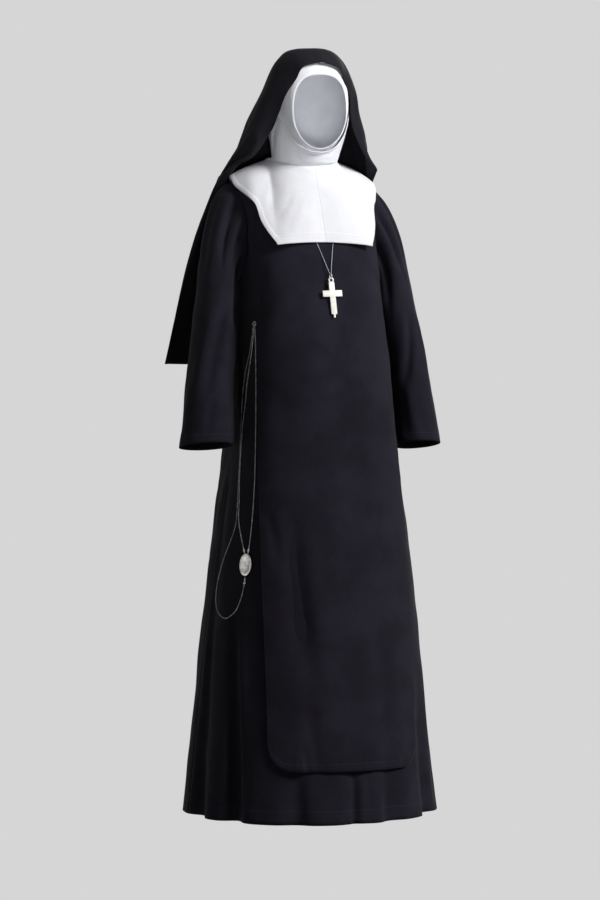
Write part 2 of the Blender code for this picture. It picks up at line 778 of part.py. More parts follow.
def neck_point(turn, v):
    """The guimpe's neck: from its upper edge on the coif (v 0) to the bib's neckline (v 1)."""
    turn = min(max(turn, -180.0), 180.0)
    rise = row_at(NECK_RISE, abs(turn))[0]
    foot = neckline(turn, GUIMPE_OUT)
    if v <= NECK_TURN_SHARE:
        w = rise + (NECK_COIF_END - rise) * v / NECK_TURN_SHARE
        return moved_out(coif_point, turn, w, NECK_OUT)
    start = moved_out(coif_point, turn, NECK_COIF_END, NECK_OUT)
    before = moved_out(coif_point, turn, NECK_COIF_END - NECK_STEP, NECK_OUT)
    t = (v - NECK_TURN_SHARE) / (1.0 - NECK_TURN_SHARE)
    away = (start - before).normalized() * NECK_BEND
    centre = place(0.0, NECK_Y, foot.z)
    out = (foot - centre).normalized()
    foot_gap = foot - out * NECK_SEAM - Vector((0.0, 0.0, -NECK_SEAM))
    arrive = (out * NECK_FLARE - Vector((0.0, 0.0, 1.0))) * NECK_BEND * NECK_ARRIVE
    return Vector(hermite(start[i], foot_gap[i], away[i], arrive[i], t) for i in range(3))


def neck_piece(collection, material):
    def point_at(u, v):
        return neck_point(360.0 * u - 180.0, spaced(v, NECK_STOPS))

    return new_grid("guimpe_neck", HEAD_COLUMNS, len(NECK_STOPS) - 1, point_at, GUIMPE_WALL, collection, material)


def veil_edge_point(across):
    x, forward, z = row_at(VEIL_EDGE, abs(across))
    return place(math.copysign(x, across), forward, z)


def veil_point(across, v):
    """The veil's face: across -1..1 along its front edge, v 0 at that edge to 1 at the hem."""
    edge = veil_edge_point(across)
    xi0, eta0 = flat_of(VEIL_SECTIONS, edge)
    turn = math.radians(180.0 - VEIL_HEM_ANGLE * abs(across))
    xi1 = math.copysign(math.sin(turn), across)
    eta1 = math.cos(turn)
    xi = xi0 + (xi1 - xi0) * v
    eta = eta0 + (eta1 - eta0) * v
    settle = 1.0 - smooth(v / VEIL_SETTLE)
    return head_point(VEIL_SECTIONS, xi, eta) + (edge - head_point(VEIL_SECTIONS, xi0, eta0)) * settle


def veil_piece(collection, material):
    def point_at(u, v):
        return veil_point(2.0 * u - 1.0, spaced(v, VEIL_STOPS))

    return new_grid("veil", VEIL_COLUMNS, len(VEIL_STOPS) - 1, point_at, VEIL_WALL, collection, material)


def armhole(q):
    """The tunic's armhole, q 0 at the shoulder, 0.25 behind, 0.5 under the arm, 0.75 in front."""
    if q <= 0.5:
        return yoke_point(1.0, q * 2.0, -1)
    return yoke_point(1.0, (1.0 - q) * 2.0, 1)


def sleeve_ring(table, q, z):
    """A point of the sleeve below the armhole, as (out, forward, up)."""
    x, forward, across, along, slant = row_at(table, z)
    turn = 2.0 * math.pi * q
    return Vector((
        x + across * math.cos(turn),
        forward - along * math.sin(turn),
        z - slant * math.sin(turn),
    ))


def sleeve_point(table, q, v):
    """The sleeve's face as (out, forward, up): v 0 at the armhole, 1 at the cuff."""
    first = max(row[0] for row in table)
    last = min(row[0] for row in table)
    if v > SLEEVE_HEAD_SHARE:
        down = (v - SLEEVE_HEAD_SHARE) / (1.0 - SLEEVE_HEAD_SHARE)
        return sleeve_ring(table, q, first + (last - first) * down)
    t = v / SLEEVE_HEAD_SHARE
    start = armhole(q)
    end = sleeve_ring(table, q, first)
    below = sleeve_ring(table, q, first - ARRIVE_STEP)
    turn = 2.0 * math.pi * q
    top = (1.0 + math.cos(turn)) / 2.0
    leave = HEAD_LEAVE_LOW.lerp(HEAD_LEAVE_TOP, top)
    leave.y -= HEAD_LEAVE_SIDE * math.sin(turn)
    leave.z -= HEAD_LEAVE_DROP * math.sin(turn) ** 2
    length = (end - start).length
    arrive = (below - end) / ARRIVE_STEP * length
    point = Vector(hermite(start[i], end[i], leave[i], arrive[i], t) for i in range(3))
    return point + leave.normalized() * SLEEVE_SEAM * (1.0 - t)


def sleeve_piece(name, side, table, collection, material):
    def point_at(u, v):
        p = sleeve_point(table, u if side > 0 else 1.0 - u, spaced(v, SLEEVE_STOPS))
        return place(side * p.x, p.y, p.z)

    return new_grid(name, SLEEVE_COLUMNS_AROUND, len(SLEEVE_STOPS) - 1, point_at, TUNIC_WALL, collection, material)


def smooth_path(points, spacing):
    """Evenly spaced points on a smooth curve through the given ones."""
    dense = []
    for i in range(len(points) - 1):
        a, b = points[i], points[i + 1]
        before = points[i - 1] if i > 0 else a + (a - b)
        after = points[i + 2] if i + 2 < len(points) else b + (b - a)
        for n in range(24):
            t = n / 24
            dense.append(Vector(
                hermite(a[k], b[k], (b[k] - before[k]) / 2, (after[k] - a[k]) / 2, t) for k in range(3)
            ))
    dense.append(points[-1].copy())
    lengths = [0.0]
    for a, b in zip(dense, dense[1:]):
        lengths.append(lengths[-1] + (b - a).length)
    count = max(2, round(lengths[-1] / spacing))
    path = []
    for n in range(count + 1):
        wanted = lengths[-1] * n / count
        i = int(np.searchsorted(lengths, wanted))
        i = min(max(i, 1), len(dense) - 1)
        span = lengths[i] - lengths[i - 1]
        t = (wanted - lengths[i - 1]) / span if span > 0 else 0.0
        path.append(dense[i - 1].lerp(dense[i], t))
    return path


def tube(name, points, radius, collection, material, closed=False):
    curve = bpy.data.curves.new(name, "CURVE")
    curve.dimensions = "3D"
    curve.bevel_depth = radius
    curve.bevel_resolution = 2
    curve.use_fill_caps = not closed
    curve.resolution_u = 1
    spline = curve.splines.new("POLY")
    spline.points.add(len(points) - 1)
    for spline_point, point in zip(spline.points, points):
        spline_point.co = (*point, 1.0)
    spline.use_cyclic_u = closed
    obj = bpy.data.objects.new(name, curve)
    collection.objects.link(obj)
    curve.materials.append(material)
    return obj


def on_skirt(angle, z, out):
    """A point off the plain skirt, by angle from the front and height."""
    across = angle / 90.0
    return on_body(across, down_at(z), 1, out)


def chain(name, route, collection, material):
    points = [on_skirt(angle, z, CHAIN_OFF) for angle, z in route]
    spacing = CHAIN_DIAMETER * CHAIN_STEP
    return tube(name, smooth_path(points, spacing), CHAIN_DIAMETER / 2, collection, material)


def chest_frame():
    """The plane in which the cross hangs: its origin is the swing axis, with axes left, down and outward."""
    down = down_at(SWING_Z)
    base = on_body(0.0, down, 1, SCAPULAR_OUT)
    above = on_body(0.0, down - CHEST_ABOVE, 1, SCAPULAR_OUT)
    below = on_body(0.0, down + CHEST_BELOW, 1, SCAPULAR_OUT)
    fall = Vector((0.0, below.y - above.y, below.z - above.z)).normalized()
    left = Vector((1.0, 0.0, 0.0))
    out = fall.cross(left).normalized()
    return base + out * PENDANT_OUT, left, fall, out


def chest_point(x, z, off):
    """A point off the scapular's face in front of the chest."""
    share = 0.0
    for _ in range(12):
        down = t_at(abs(share), z, 1)
        share += (x - yoke_point(abs(share), down, 1).x * (1 if share >= 0 else -1)) / CHEST_REACH
    return on_body(share, t_at(abs(share), z, 1), 1, SCAPULAR_OUT + off)


def neck_cord(collection, material):
    points = [chest_point(x, z, off) for x, z, off in CORD_ROUTE]
    return tube("neck_cord", smooth_path(points, CORD_DIAMETER * CORD_STEP), CORD_DIAMETER / 2, collection, material)


def ring_piece(name, centre, normal, radius, wire, collection, material):
    """A closed round wire."""
    normal = normal.normalized()
    side = normal.orthogonal().normalized()
    other = normal.cross(side)
    points = []
    for i in range(12):
        turn = 2.0 * math.pi * i / 12
        points.append(centre + side * radius * math.cos(turn) + other * radius * math.sin(turn))
    return tube(name, points, wire, collection, material, closed=True)


def cross_piece(collection, material):
    """The cross with its eyelet and foot tip, one flat outline with a hole, bevelled."""
    origin, left, fall, out = chest_frame()
    curve = bpy.data.curves.new("cross", "CURVE")
    curve.dimensions = "2D"
    curve.fill_mode = "BOTH"
    curve.extrude = CROSS_THICK / 2 - CROSS_EDGE
    curve.bevel_depth = CROSS_EDGE
    curve.bevel_resolution = 0
    top = CROSS_TOP_DROP
    bottom = CROSS_TOP_DROP + CROSS_LENGTH
    arm = CROSS_MEMBER / 2 - CROSS_EDGE
    reach = CROSS_BAR / 2 - CROSS_EDGE
    bar = CROSS_BAR_HEIGHT / 2 - CROSS_EDGE
    outline = []
    eyelet_centre = HANG_DROP
    join = EYELET_JOIN / 2
    for turn in EYELET_TURNS:
        a = math.radians(turn)
        outline.append(((EYELET_RADIUS - CROSS_EDGE) * math.sin(a),
                        eyelet_centre - (EYELET_RADIUS - CROSS_EDGE) * math.cos(a)))
    outline += [(join, top), (arm, top), (arm, CROSS_BAR_DROP - bar), (reach, CROSS_BAR_DROP - bar),
                (reach, CROSS_BAR_DROP + bar), (arm, CROSS_BAR_DROP + bar), (arm, bottom), (FINIAL_NECK, bottom)]
    for turn in FINIAL_TURNS:
        a = math.radians(turn)
        outline.append(((FINIAL_RADIUS - CROSS_EDGE) * math.sin(-a),
                        bottom + FINIAL_DROP + (FINIAL_RADIUS - CROSS_EDGE) * math.cos(a)))
    outline += [(-FINIAL_NECK, bottom), (-arm, bottom), (-arm, CROSS_BAR_DROP + bar), (-reach, CROSS_BAR_DROP + bar),
                (-reach, CROSS_BAR_DROP - bar), (-arm, CROSS_BAR_DROP - bar), (-arm, top), (-join, top)]
    hole = []
    for i in range(12):
        a = 2.0 * math.pi * i / 12
        hole.append(((EYELET_HOLE + CROSS_EDGE) * math.cos(a), eyelet_centre + (EYELET_HOLE + CROSS_EDGE) * math.sin(a)))
    for ring in (outline, hole):
        spline = curve.splines.new("POLY")
        spline.points.add(len(ring) - 1)
        for spline_point, (x, y) in zip(spline.points, ring):
            spline_point.co = (x, -y, 0.0, 1.0)
        spline.use_cyclic_u = True
    obj = bpy.data.objects.new("cross", curve)
    collection.objects.link(obj)
    curve.materials.append(material)
    lean = math.radians(CROSS_LEAN)
    across = left * math.cos(lean) - fall * math.sin(lean)
    along = -(fall * math.cos(lean) + left * math.sin(lean))
    matrix = obj.matrix_world.copy()
    for row in range(3):
        matrix[row][0] = across[row]
        matrix[row][1] = along[row]
        matrix[row][2] = out[row]
        matrix[row][3] = origin[row]
    obj.matrix_world = matrix
    return obj


def medal_piece(collection, material):
    """The oval medal, lying against the skirt."""
    centre = on_skirt(MEDAL_ANGLE, MEDAL_Z, MEDAL_OFF)
    below = on_skirt(MEDAL_ANGLE, MEDAL_Z - MEDAL_PROBE, MEDAL_OFF)
    base = on_skirt(MEDAL_ANGLE, MEDAL_Z, 0.0)
    out = (centre - base).normalized()
    fall = (below - centre).normalized()
    across = out.cross(fall).normalized()
    bpy.ops.mesh.primitive_cylinder_add(vertices=MEDAL_SIDES, radius=1.0, depth=MEDAL_THICK)
    obj = bpy.context.object
    obj.name = "rosary_medal"
    for vertex in obj.data.vertices:
        x, y, z = vertex.co
        vertex.co = centre + across * x * MEDAL_HALF_WIDTH + fall * y * MEDAL_HALF_HEIGHT + out * z
    bm = bmesh.new()
    bm.from_mesh(obj.data)
    bmesh.ops.recalc_face_normals(bm, faces=bm.faces)
    bm.to_mesh(obj.data)
    bm.free()
    for holder in list(obj.users_collection):
        holder.objects.unlink(obj)
    collection.objects.link(obj)
    obj.data.materials.append(material)
    bevel = obj.modifiers.new("Edge", "BEVEL")
    bevel.width = MEDAL_EDGE
    bevel.segments = 1
    bevel.limit_method = "ANGLE"
    obj.data.shade_smooth()
    return obj


def build():
    clear_scene()
    collection = bpy.data.collections.new("nun_habit")
    bpy.context.scene.collection.children.link(collection)
    black = new_material("black_cloth", (0.010, 0.010, 0.014), 0.85)
    veil_cloth = new_material("veil_cloth", (0.012, 0.012, 0.017), 0.8)
    white = new_material("white_cloth", (0.86, 0.87, 0.90), 0.75)
    cord = new_material("cord", (0.45, 0.60, 0.75), 0.6)
    ivory = new_material("ivory", (0.85, 0.82, 0.74), 0.4)
    metal = new_material("metal", (0.62, 0.60, 0.56), 0.35, 1.0)
    for facing in (1, -1):
        tunic_panel(facing, collection, black)
        scapular_panel(facing, collection, black)
        guimpe_panel(facing, collection, white)
    sleeve_piece("sleeve_right", -1, SLEEVE_RIGHT, collection, black)
    sleeve_piece("sleeve_left", 1, SLEEVE_LEFT, collection, black)
    coif_piece(collection, white)
    neck_piece(collection, white)
    veil_piece(collection, veil_cloth)
    neck_cord(collection, cord)
    origin, left, fall, out = chest_frame()
    ring_centre = origin - fall * RING_RADIUS
    ring_piece("cross_ring", ring_centre, left, RING_RADIUS, RING_WIRE, collection, metal)
    cross_piece(collection, ivory)
    hook_centre = on_skirt(HOOK_ANGLE, HOOK_Z, HOOK_WIRE + HOOK_CLEAR)
    hook_out = hook_centre - on_skirt(HOOK_ANGLE, HOOK_Z, 0.0)
    ring_piece("rosary_hook", hook_centre, hook_out, HOOK_RADIUS, HOOK_WIRE, collection, metal)
    chain("rosary_chain_a", CHAIN_A, collection, metal)
    chain("rosary_chain_b", CHAIN_B, collection, metal)
    chain("rosary_chain_c", CHAIN_C, collection, metal)
    medal_piece(collection, metal)


build()
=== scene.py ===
"""Looks of the worn nun habit: cloth shells with creases, hems and weave, beads, medal and cross.

Metres. The origin lies between the shoulders, the front faces -Y and the wearer's left is +X.
In the comments "forward" is -Y.
"""
import math

import bmesh
import bpy
import numpy as np
from mathutils import Matrix, Vector


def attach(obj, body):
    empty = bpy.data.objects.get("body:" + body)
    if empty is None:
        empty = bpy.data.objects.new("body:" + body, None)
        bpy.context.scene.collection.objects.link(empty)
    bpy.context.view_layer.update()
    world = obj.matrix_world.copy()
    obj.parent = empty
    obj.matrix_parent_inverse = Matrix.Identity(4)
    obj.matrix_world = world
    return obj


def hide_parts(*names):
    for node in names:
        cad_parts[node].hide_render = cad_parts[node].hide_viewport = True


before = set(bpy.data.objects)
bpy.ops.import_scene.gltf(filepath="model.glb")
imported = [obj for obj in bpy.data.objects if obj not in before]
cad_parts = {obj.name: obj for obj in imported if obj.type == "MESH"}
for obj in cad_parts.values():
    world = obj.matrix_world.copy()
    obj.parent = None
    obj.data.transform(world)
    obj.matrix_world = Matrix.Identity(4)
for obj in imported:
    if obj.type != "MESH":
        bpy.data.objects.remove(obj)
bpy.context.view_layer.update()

# Camera: the photograph's viewing angle
CAMERA_PLACE = (-2.052, -5.638, -0.400)
CAMERA_AIM = (-0.0088, 0.0032, -0.551)
CAMERA_LENS = 115.2
FLOOR_Z = -1.43

# Walls and offsets of the cloth, as on the solids
TUNIC_WALL = 0.002
SCAPULAR_WALL = 0.002
GUIMPE_WALL = 0.0015
COIF_WALL = 0.0016
VEIL_WALL = 0.0018
SEAM_GAP = 0.0006
SHOULDER_GAP = 0.0015
SCAPULAR_OUT = 0.0053
GUIMPE_OUT = 0.0103
BACK_EASE = 0.0030
GUIMPE_BACK_EASE = 0.0068
CHEST_Z = -0.20
HEM_Z = -1.293
SCAPULAR_HEM_Z = -1.188
BIB_HEM_Z = -0.134
BIB_HEM_BOW = 0.006
BIB_STAND = 0.018
NECK_SHARE = 0.46

# The tunic's level sections
# Columns: z, half width, side seam's forward place, front, back, squareness
BODY_SECTIONS = (
    (-0.200, 0.142, 0.000, 0.143, -0.104, 2.8),
    (-0.280, 0.147, 0.004, 0.163, -0.104, 2.8),
    (-0.385, 0.156, 0.012, 0.181, -0.108, 2.8),
    (-0.535, 0.167, 0.020, 0.197, -0.124, 2.8),
    (-0.650, 0.187, 0.027, 0.211, -0.146, 2.5),
    (-0.850, 0.217, 0.031, 0.241, -0.176, 2.1),
    (-1.070, 0.243, 0.031, 0.264, -0.202, 2.0),
    (-1.293, 0.267, 0.031, 0.288, -0.226, 2.0),
)

# Hem folds that run up the skirt
# Columns: angle from the front in degrees (+ to the wearer's left), depth at the hem,
# half width in degrees, height where it dies out
SKIRT_FOLDS = (
    (-81.0, 0.020, 6.0, -0.90),
    (-56.0, 0.026, 5.5, -0.93),
    (-26.0, 0.010, 6.0, -1.10),
    (2.0, 0.012, 6.0, -1.08),
    (21.0, 0.012, 6.0, -1.10),
    (50.0, 0.022, 6.0, -0.95),
    (76.0, 0.020, 6.0, -0.88),
    (104.0, 0.018, 6.5, -0.90),
    (131.0, 0.026, 7.0, -0.80),
    (160.0, 0.024, 7.0, -0.86),
    (188.0, 0.024, 7.0, -0.82),
    (216.0, 0.026, 7.0, -0.86),
    (246.0, 0.020, 6.5, -0.90),
)

# Where the scapular's edge lies on the tunic
# Columns: z, share of the way from centre to side seam
SCAPULAR_EDGE = (
    (-0.200, 0.655),
    (-0.385, 0.625),
    (-0.535, 0.590),
    (-0.690, 0.535),
    (-0.850, 0.492),
    (-1.070, 0.440),
    (-1.293, 0.405),
)

# The yoke's edge on the shoulders and at the neck
NECK_HALF = 0.070
NECK_Y = -0.025
NECK_Z = 0.044
NECK_FRONT_DEPTH = 0.076
NECK_FRONT_DROP = 0.020
NECK_BACK_DEPTH = 0.050
NECK_BACK_RISE = 0.006
SHOULDER_CROWN = 0.004
SHOULDER_TIP = (0.158, -0.035, 0.004)

# Directions in which the cloth leaves the neck and shoulder
# Columns: share from centre to tip, out, forward, up
LEAVE_FRONT = (
    (0.00, 0.000, 0.095, -0.200),
    (0.46, 0.040, 0.200, -0.070),
    (0.80, 0.000, 0.285, -0.015),
    (1.00, -0.050, 0.260, -0.030),
)
LEAVE_BACK = (
    (0.00, 0.000, -0.120, -0.120),
    (0.46, 0.030, -0.200, -0.060),
    (0.80, 0.000, -0.250, -0.015),
    (1.00, -0.040, -0.235, -0.030),
)
ARRIVE_FRONT = (0.045, -0.15, -0.14)
ARRIVE_BACK = (0.040, 0.13, -0.14)
ARRIVE_STEP = 0.02
ARRIVE_LENGTH = 0.205
ARRIVE_EDGE_SHARE = 0.62

# The sleeves below the armhole
# Columns: z, centre out, centre forward, half width across, half width front to back, slant
SLEEVE_RIGHT = (
    (-0.245, 0.194, 0.008, 0.0450, 0.056, 0.000),
    (-0.385, 0.213, 0.028, 0.0500, 0.056, 0.004),
    (-0.470, 0.224, 0.044, 0.0540, 0.056, 0.008),
    (-0.540, 0.2325, 0.058, 0.0575, 0.057, 0.010),
)
SLEEVE_LEFT = (
    (-0.245, 0.195, 0.008, 0.0430, 0.056, 0.000),
    (-0.385, 0.2165, 0.028, 0.0440, 0.056, 0.004),
    (-0.470, 0.2240, 0.044, 0.0460, 0.055, 0.008),
    (-0.540, 0.2290, 0.058, 0.0490, 0.054, 0.010),
)
SLEEVE_HEAD_SHARE = 0.46
SLEEVE_SEAM = 0.0014
SLEEVE_ROUND = 0.053
HEAD_LEAVE_TOP = (0.155, 0.010, -0.090)
HEAD_LEAVE_LOW = (0.065, 0.000, -0.012)
HEAD_LEAVE_SIDE = 0.012
HEAD_LEAVE_DROP = 0.060

# The head coverings' level sections
# Columns: rank from crown (0) to hem (1), z, half width, centre's forward place, depth forward, depth back
COIF_SECTIONS = (
    (0.00, 0.268, 0.000, 0.030, 0.000, 0.000),
    (0.12, 0.263, 0.034, 0.031, 0.032, 0.036),
    (0.24, 0.248, 0.056, 0.032, 0.052, 0.064),
    (0.36, 0.218, 0.071, 0.030, 0.066, 0.088),
    (0.50, 0.170, 0.078, 0.025, 0.073, 0.098),
    (0.64, 0.120, 0.075, 0.020, 0.075, 0.092),
    (0.80, 0.078, 0.067, 0.010, 0.070, 0.076),
    (1.00, 0.046, 0.061, 0.000, 0.062, 0.064),
)
VEIL_SECTIONS = (
    (0.00, 0.2780, 0.000, 0.028, 0.000, 0.000),
    (0.12, 0.2735, 0.042, 0.030, 0.040, 0.045),
    (0.22, 0.2560, 0.064, 0.033, 0.060, 0.075),
    (0.30, 0.2310, 0.080, 0.036, 0.072, 0.098),
    (0.40, 0.1900, 0.096, 0.031, 0.080, 0.116),
    (0.50, 0.1410, 0.114, 0.010, 0.085, 0.112),
    (0.60, 0.0850, 0.136, -0.006, 0.080, 0.106),
    (0.72, 0.0100, 0.165, -0.058, 0.060, 0.072),
    (0.80, -0.0730, 0.189, -0.099, 0.050, 0.044),
    (0.90, -0.2100, 0.230, -0.108, 0.045, 0.050),
    (1.00, -0.3720, 0.262, -0.130, 0.045, 0.048),
)

# The veil's front edge, from the forehead's middle down to the shoulder
# Columns: share of the edge, x, forward, z
VEIL_EDGE = (
    (0.000, 0.0000, 0.104, 0.2450),
    (0.125, 0.0380, 0.099, 0.2335),
    (0.250, 0.0525, 0.092, 0.2070),
    (0.375, 0.0695, 0.079, 0.1770),
    (0.500, 0.0785, 0.061, 0.1400),
    (0.625, 0.0920, 0.050, 0.1030),
    (0.750, 0.1270, 0.033, 0.0520),
    (0.875, 0.1605, 0.000, 0.0345),
    (1.000, 0.1690, -0.058, 0.0175),
)
VEIL_HEM_ANGLE = 88.0
VEIL_SETTLE = 0.22

# The face opening, an upright oval in front of the head
FACE_HALF_WIDTH = 0.0572
FACE_TOP_Z = 0.2180
FACE_BOTTOM_Z = 0.0700
FACE_FORWARD_TOP = 0.101
FACE_FORWARD_SIDE = 0.0925
FACE_FORWARD_CHIN = 0.090
FACE_TOP_POWER = 0.75

# Neck of the guimpe: where its upper edge crosses the coif
# Columns: turn from chin (0) to nape (180), share of the coif's depth
NECK_RISE = (
    (0.0, 0.10),
    (40.0, 0.17),
    (80.0, 0.26),
    (120.0, 0.50),
    (150.0, 0.72),
    (180.0, 0.80),
)
NECK_OUT = 0.0062
NECK_TURN_SHARE = 0.55
NECK_COIF_END = 0.93
COIF_END = 0.90
NECK_BEND = 0.03
NECK_SEAM = 0.0024
COIF_SETTLE = 0.35
COIF_FLOW = 0.42

# Scapular and guimpe outlines
SCAPULAR_SHOULDER_HALF = 0.150
SCAPULAR_HALF_WIDTH = 0.175
SCAPULAR_FLOW_FRONT = (0.02, -0.75)
SCAPULAR_FLOW_BACK = (-0.60, -0.40)
CORNER_RADIUS = 0.050
BIB_SHOULDER_HALF = 0.1485
BIB_HEM_SHARE = 0.45
BIB_FLOW_START = 0.22
BIB_FLOW_POWER = 1.3
BIB_EDGE_EASE = 0.06
BIB_EASE_ROUNDS = 20
NECK_OVERLAP = 0.003
GUIMPE_BACK_Z = -0.085
GUIMPE_BACK_TAPER = 0.72

# Cross, ring and cord. The swing axis is the ring's lowest wire.
SWING_Z = -0.2034
PENDANT_OUT = 0.0078
CROSS_TOP_DROP = 0.0073
CROSS_LENGTH = 0.0643
CROSS_MEMBER = 0.0125
CROSS_BAR = 0.042
CROSS_BAR_HEIGHT = 0.0132
CROSS_BAR_DROP = 0.0298
CROSS_THICK = 0.0034
CROSS_LEAN = 2.0
EYELET_JOIN = 0.005
EYELET_RADIUS = 0.0060
EYELET_HOLE = 0.0030
FINIAL_NECK = 0.0028
FINIAL_RADIUS = 0.0020
FINIAL_DROP = 0.0066
HANG_DROP = 0.0019
RING_RADIUS = 0.0060
RING_WIRE = 0.0008
CORD_DIAMETER = 0.0014

# The neck cord from under the bib to the ring's top and back
# Columns: x, z, distance off the scapular
CORD_ROUTE = (
    (-0.0300, -0.103, 0.0006),
    (-0.0250, -0.115, 0.0006),
    (-0.0195, -0.128, 0.0008),
    (-0.0148, -0.144, 0.0020),
    (-0.0100, -0.161, 0.0036),
    (-0.0054, -0.178, 0.0058),
    (-0.0024, -0.1901, 0.0080),
    (0.0000, -0.1949, 0.0085),
    (0.0020, -0.1901, 0.0080),
    (0.0046, -0.178, 0.0058),
    (0.0086, -0.161, 0.0036),
    (0.0125, -0.144, 0.0020),
    (0.0164, -0.128, 0.0008),
    (0.0200, -0.115, 0.0006),
    (0.0240, -0.103, 0.0006),
)

# Rosary
CHAIN_DIAMETER = 0.0024
CHAIN_OFF = 0.0026
MEDAL_ANGLE = -56.3
MEDAL_Z = -0.778
MEDAL_HALF_WIDTH = 0.0145
MEDAL_HALF_HEIGHT = 0.022
MEDAL_THICK = 0.0026
MEDAL_OFF = 0.0030
HOOK_ANGLE = -61.3
HOOK_Z = -0.291
HOOK_RADIUS = 0.0045
HOOK_WIRE = 0.0012

# The three strands on the skirt, from the hook down to the medal
# Columns: angle from the front in degrees, z
CHAIN_A = (
    (-62.3, -0.2970), (-62.6, -0.310), (-63.6, -0.330), (-65.4, -0.352), (-68.6, -0.380),
    (-70.9, -0.408), (-72.4, -0.444), (-72.9, -0.501), (-70.8, -0.564), (-68.0, -0.628),
    (-66.6, -0.684), (-67.9, -0.712), (-72.5, -0.746), (-76.5, -0.775), (-79.8, -0.812),
    (-80.4, -0.841), (-78.5, -0.867), (-74.2, -0.882), (-69.0, -0.888), (-64.8, -0.882),
    (-61.0, -0.869), (-58.6, -0.850), (-57.0, -0.828), (-56.4, -0.810), (-56.3, -0.8006),
)
CHAIN_B = (
    (-61.3, -0.2972), (-61.5, -0.312), (-62.2, -0.335), (-63.6, -0.363), (-66.6, -0.410),
    (-68.0, -0.450), (-70.6, -0.500), (-70.6, -0.540), (-68.2, -0.600), (-65.6, -0.650),
    (-64.4, -0.688), (-61.4, -0.719), (-58.6, -0.744), (-57.4, -0.7558),
)
CHAIN_C = (
    (-60.3, -0.2970), (-59.9, -0.309), (-59.1, -0.325), (-58.3, -0.363), (-57.4, -0.403),
    (-56.9, -0.443), (-55.9, -0.524), (-54.2, -0.595), (-53.4, -0.651), (-53.7, -0.699),
    (-54.4, -0.735), (-55.2, -0.7558),
)

# Creases, in each panel's own flat coordinates
# Columns: start (a, b), end (a, b), bow sideways, height (+ ridge, - trough), half width
# Front body: a is the arc length from the centre, + to the wearer's left, and b is z
SCAPULAR_CREASES = (
    (-0.096, -0.630, -0.066, -1.040, -0.010, -0.0095, 0.023),
    (-0.070, -0.680, -0.040, -1.060, -0.008, 0.0040, 0.022),
    (-0.078, -1.010, -0.054, -1.260, -0.006, -0.0042, 0.016),
    (-0.140, -0.660, -0.126, -0.790, 0.004, -0.0042, 0.011),
    (-0.112, -0.160, -0.168, -0.280, -0.006, -0.0050, 0.012),
    (-0.070, -0.190, -0.140, -0.360, -0.008, 0.0034, 0.018),
    (0.108, -0.170, 0.150, -0.300, 0.006, -0.0040, 0.014),
    (0.060, -0.860, 0.076, -1.230, 0.008, -0.0040, 0.022),
    (0.106, -1.182, 0.150, -1.145, 0.004, -0.0034, 0.006),
    (0.110, -1.196, 0.148, -1.164, -0.003, 0.0026, 0.006),
    (-0.094, -1.130, -0.084, -1.214, 0.003, -0.0034, 0.008),
    (-0.030, -0.230, -0.060, -0.460, 0.010, 0.0028, 0.030),
    (0.040, -0.240, 0.056, -0.480, -0.008, 0.0026, 0.028),
    (-0.116, -0.400, -0.120, -0.620, 0.012, -0.0030, 0.020),
    (0.092, -0.440, 0.118, -0.740, 0.006, -0.0032, 0.022),
    (0.020, -0.520, 0.004, -0.820, 0.008, -0.0026, 0.026),
)
TUNIC_CREASES = (
    (-0.236, -0.840, -0.268, -1.330, 0.004, -0.0110, 0.013),
    (-0.216, -0.860, -0.238, -1.330, 0.004, 0.0060, 0.013),
    (-0.312, -0.820, -0.392, -1.330, 0.006, -0.0080, 0.016),
    (-0.280, -0.520, -0.330, -1.000, 0.010, -0.0050, 0.020),
    (-0.240, -0.300, -0.205, -0.520, 0.006, -0.0050, 0.014),
    (-0.350, -0.860, -0.362, -1.320, 0.004, 0.0050, 0.018),
    (0.007, -1.150, 0.007, -1.390, 0.000, -0.0060, 0.006),
    (0.022, -1.150, 0.024, -1.390, 0.000, 0.0040, 0.010),
    (0.080, -1.150, 0.082, -1.390, 0.002, -0.0046, 0.012),
    (-0.110, -1.150, -0.112, -1.390, 0.002, -0.0036, 0.014),
    (0.240, -0.560, 0.300, -1.150, 0.010, -0.0056, 0.020),
    (0.330, -0.800, 0.360, -1.330, -0.006, 0.0060, 0.018),
    (0.372, -0.780, 0.398, -1.330, 0.004, -0.0070, 0.014),
    (0.262, -0.900, 0.280, -1.330, 0.004, -0.0060, 0.015),
    (0.215, -0.330, 0.190, -0.520, -0.004, -0.0040, 0.014),
)
TUNIC_BACK_CREASES = (
    (-0.230, -0.500, -0.280, -1.080, 0.012, -0.0046, 0.022),
    (0.060, -0.640, 0.085, -1.200, 0.010, -0.0030, 0.026),
    (0.250, -0.520, 0.300, -1.100, -0.012, -0.0046, 0.022),
    (-0.100, -0.700, -0.130, -1.250, -0.010, 0.0030, 0.026),
)
SCAPULAR_BACK_CREASES = (
    (-0.040, -0.420, -0.060, -1.180, 0.014, -0.0034, 0.030),
    (0.050, -0.380, 0.070, -1.000, -0.012, -0.0030, 0.028),
    (0.000, -0.120, 0.000, -0.320, 0.006, 0.0020, 0.030),
    (-0.100, -0.200, -0.070, -0.360, 0.004, -0.0022, 0.018),
    (0.104, -0.210, 0.074, -0.350, -0.004, -0.0022, 0.018),
)
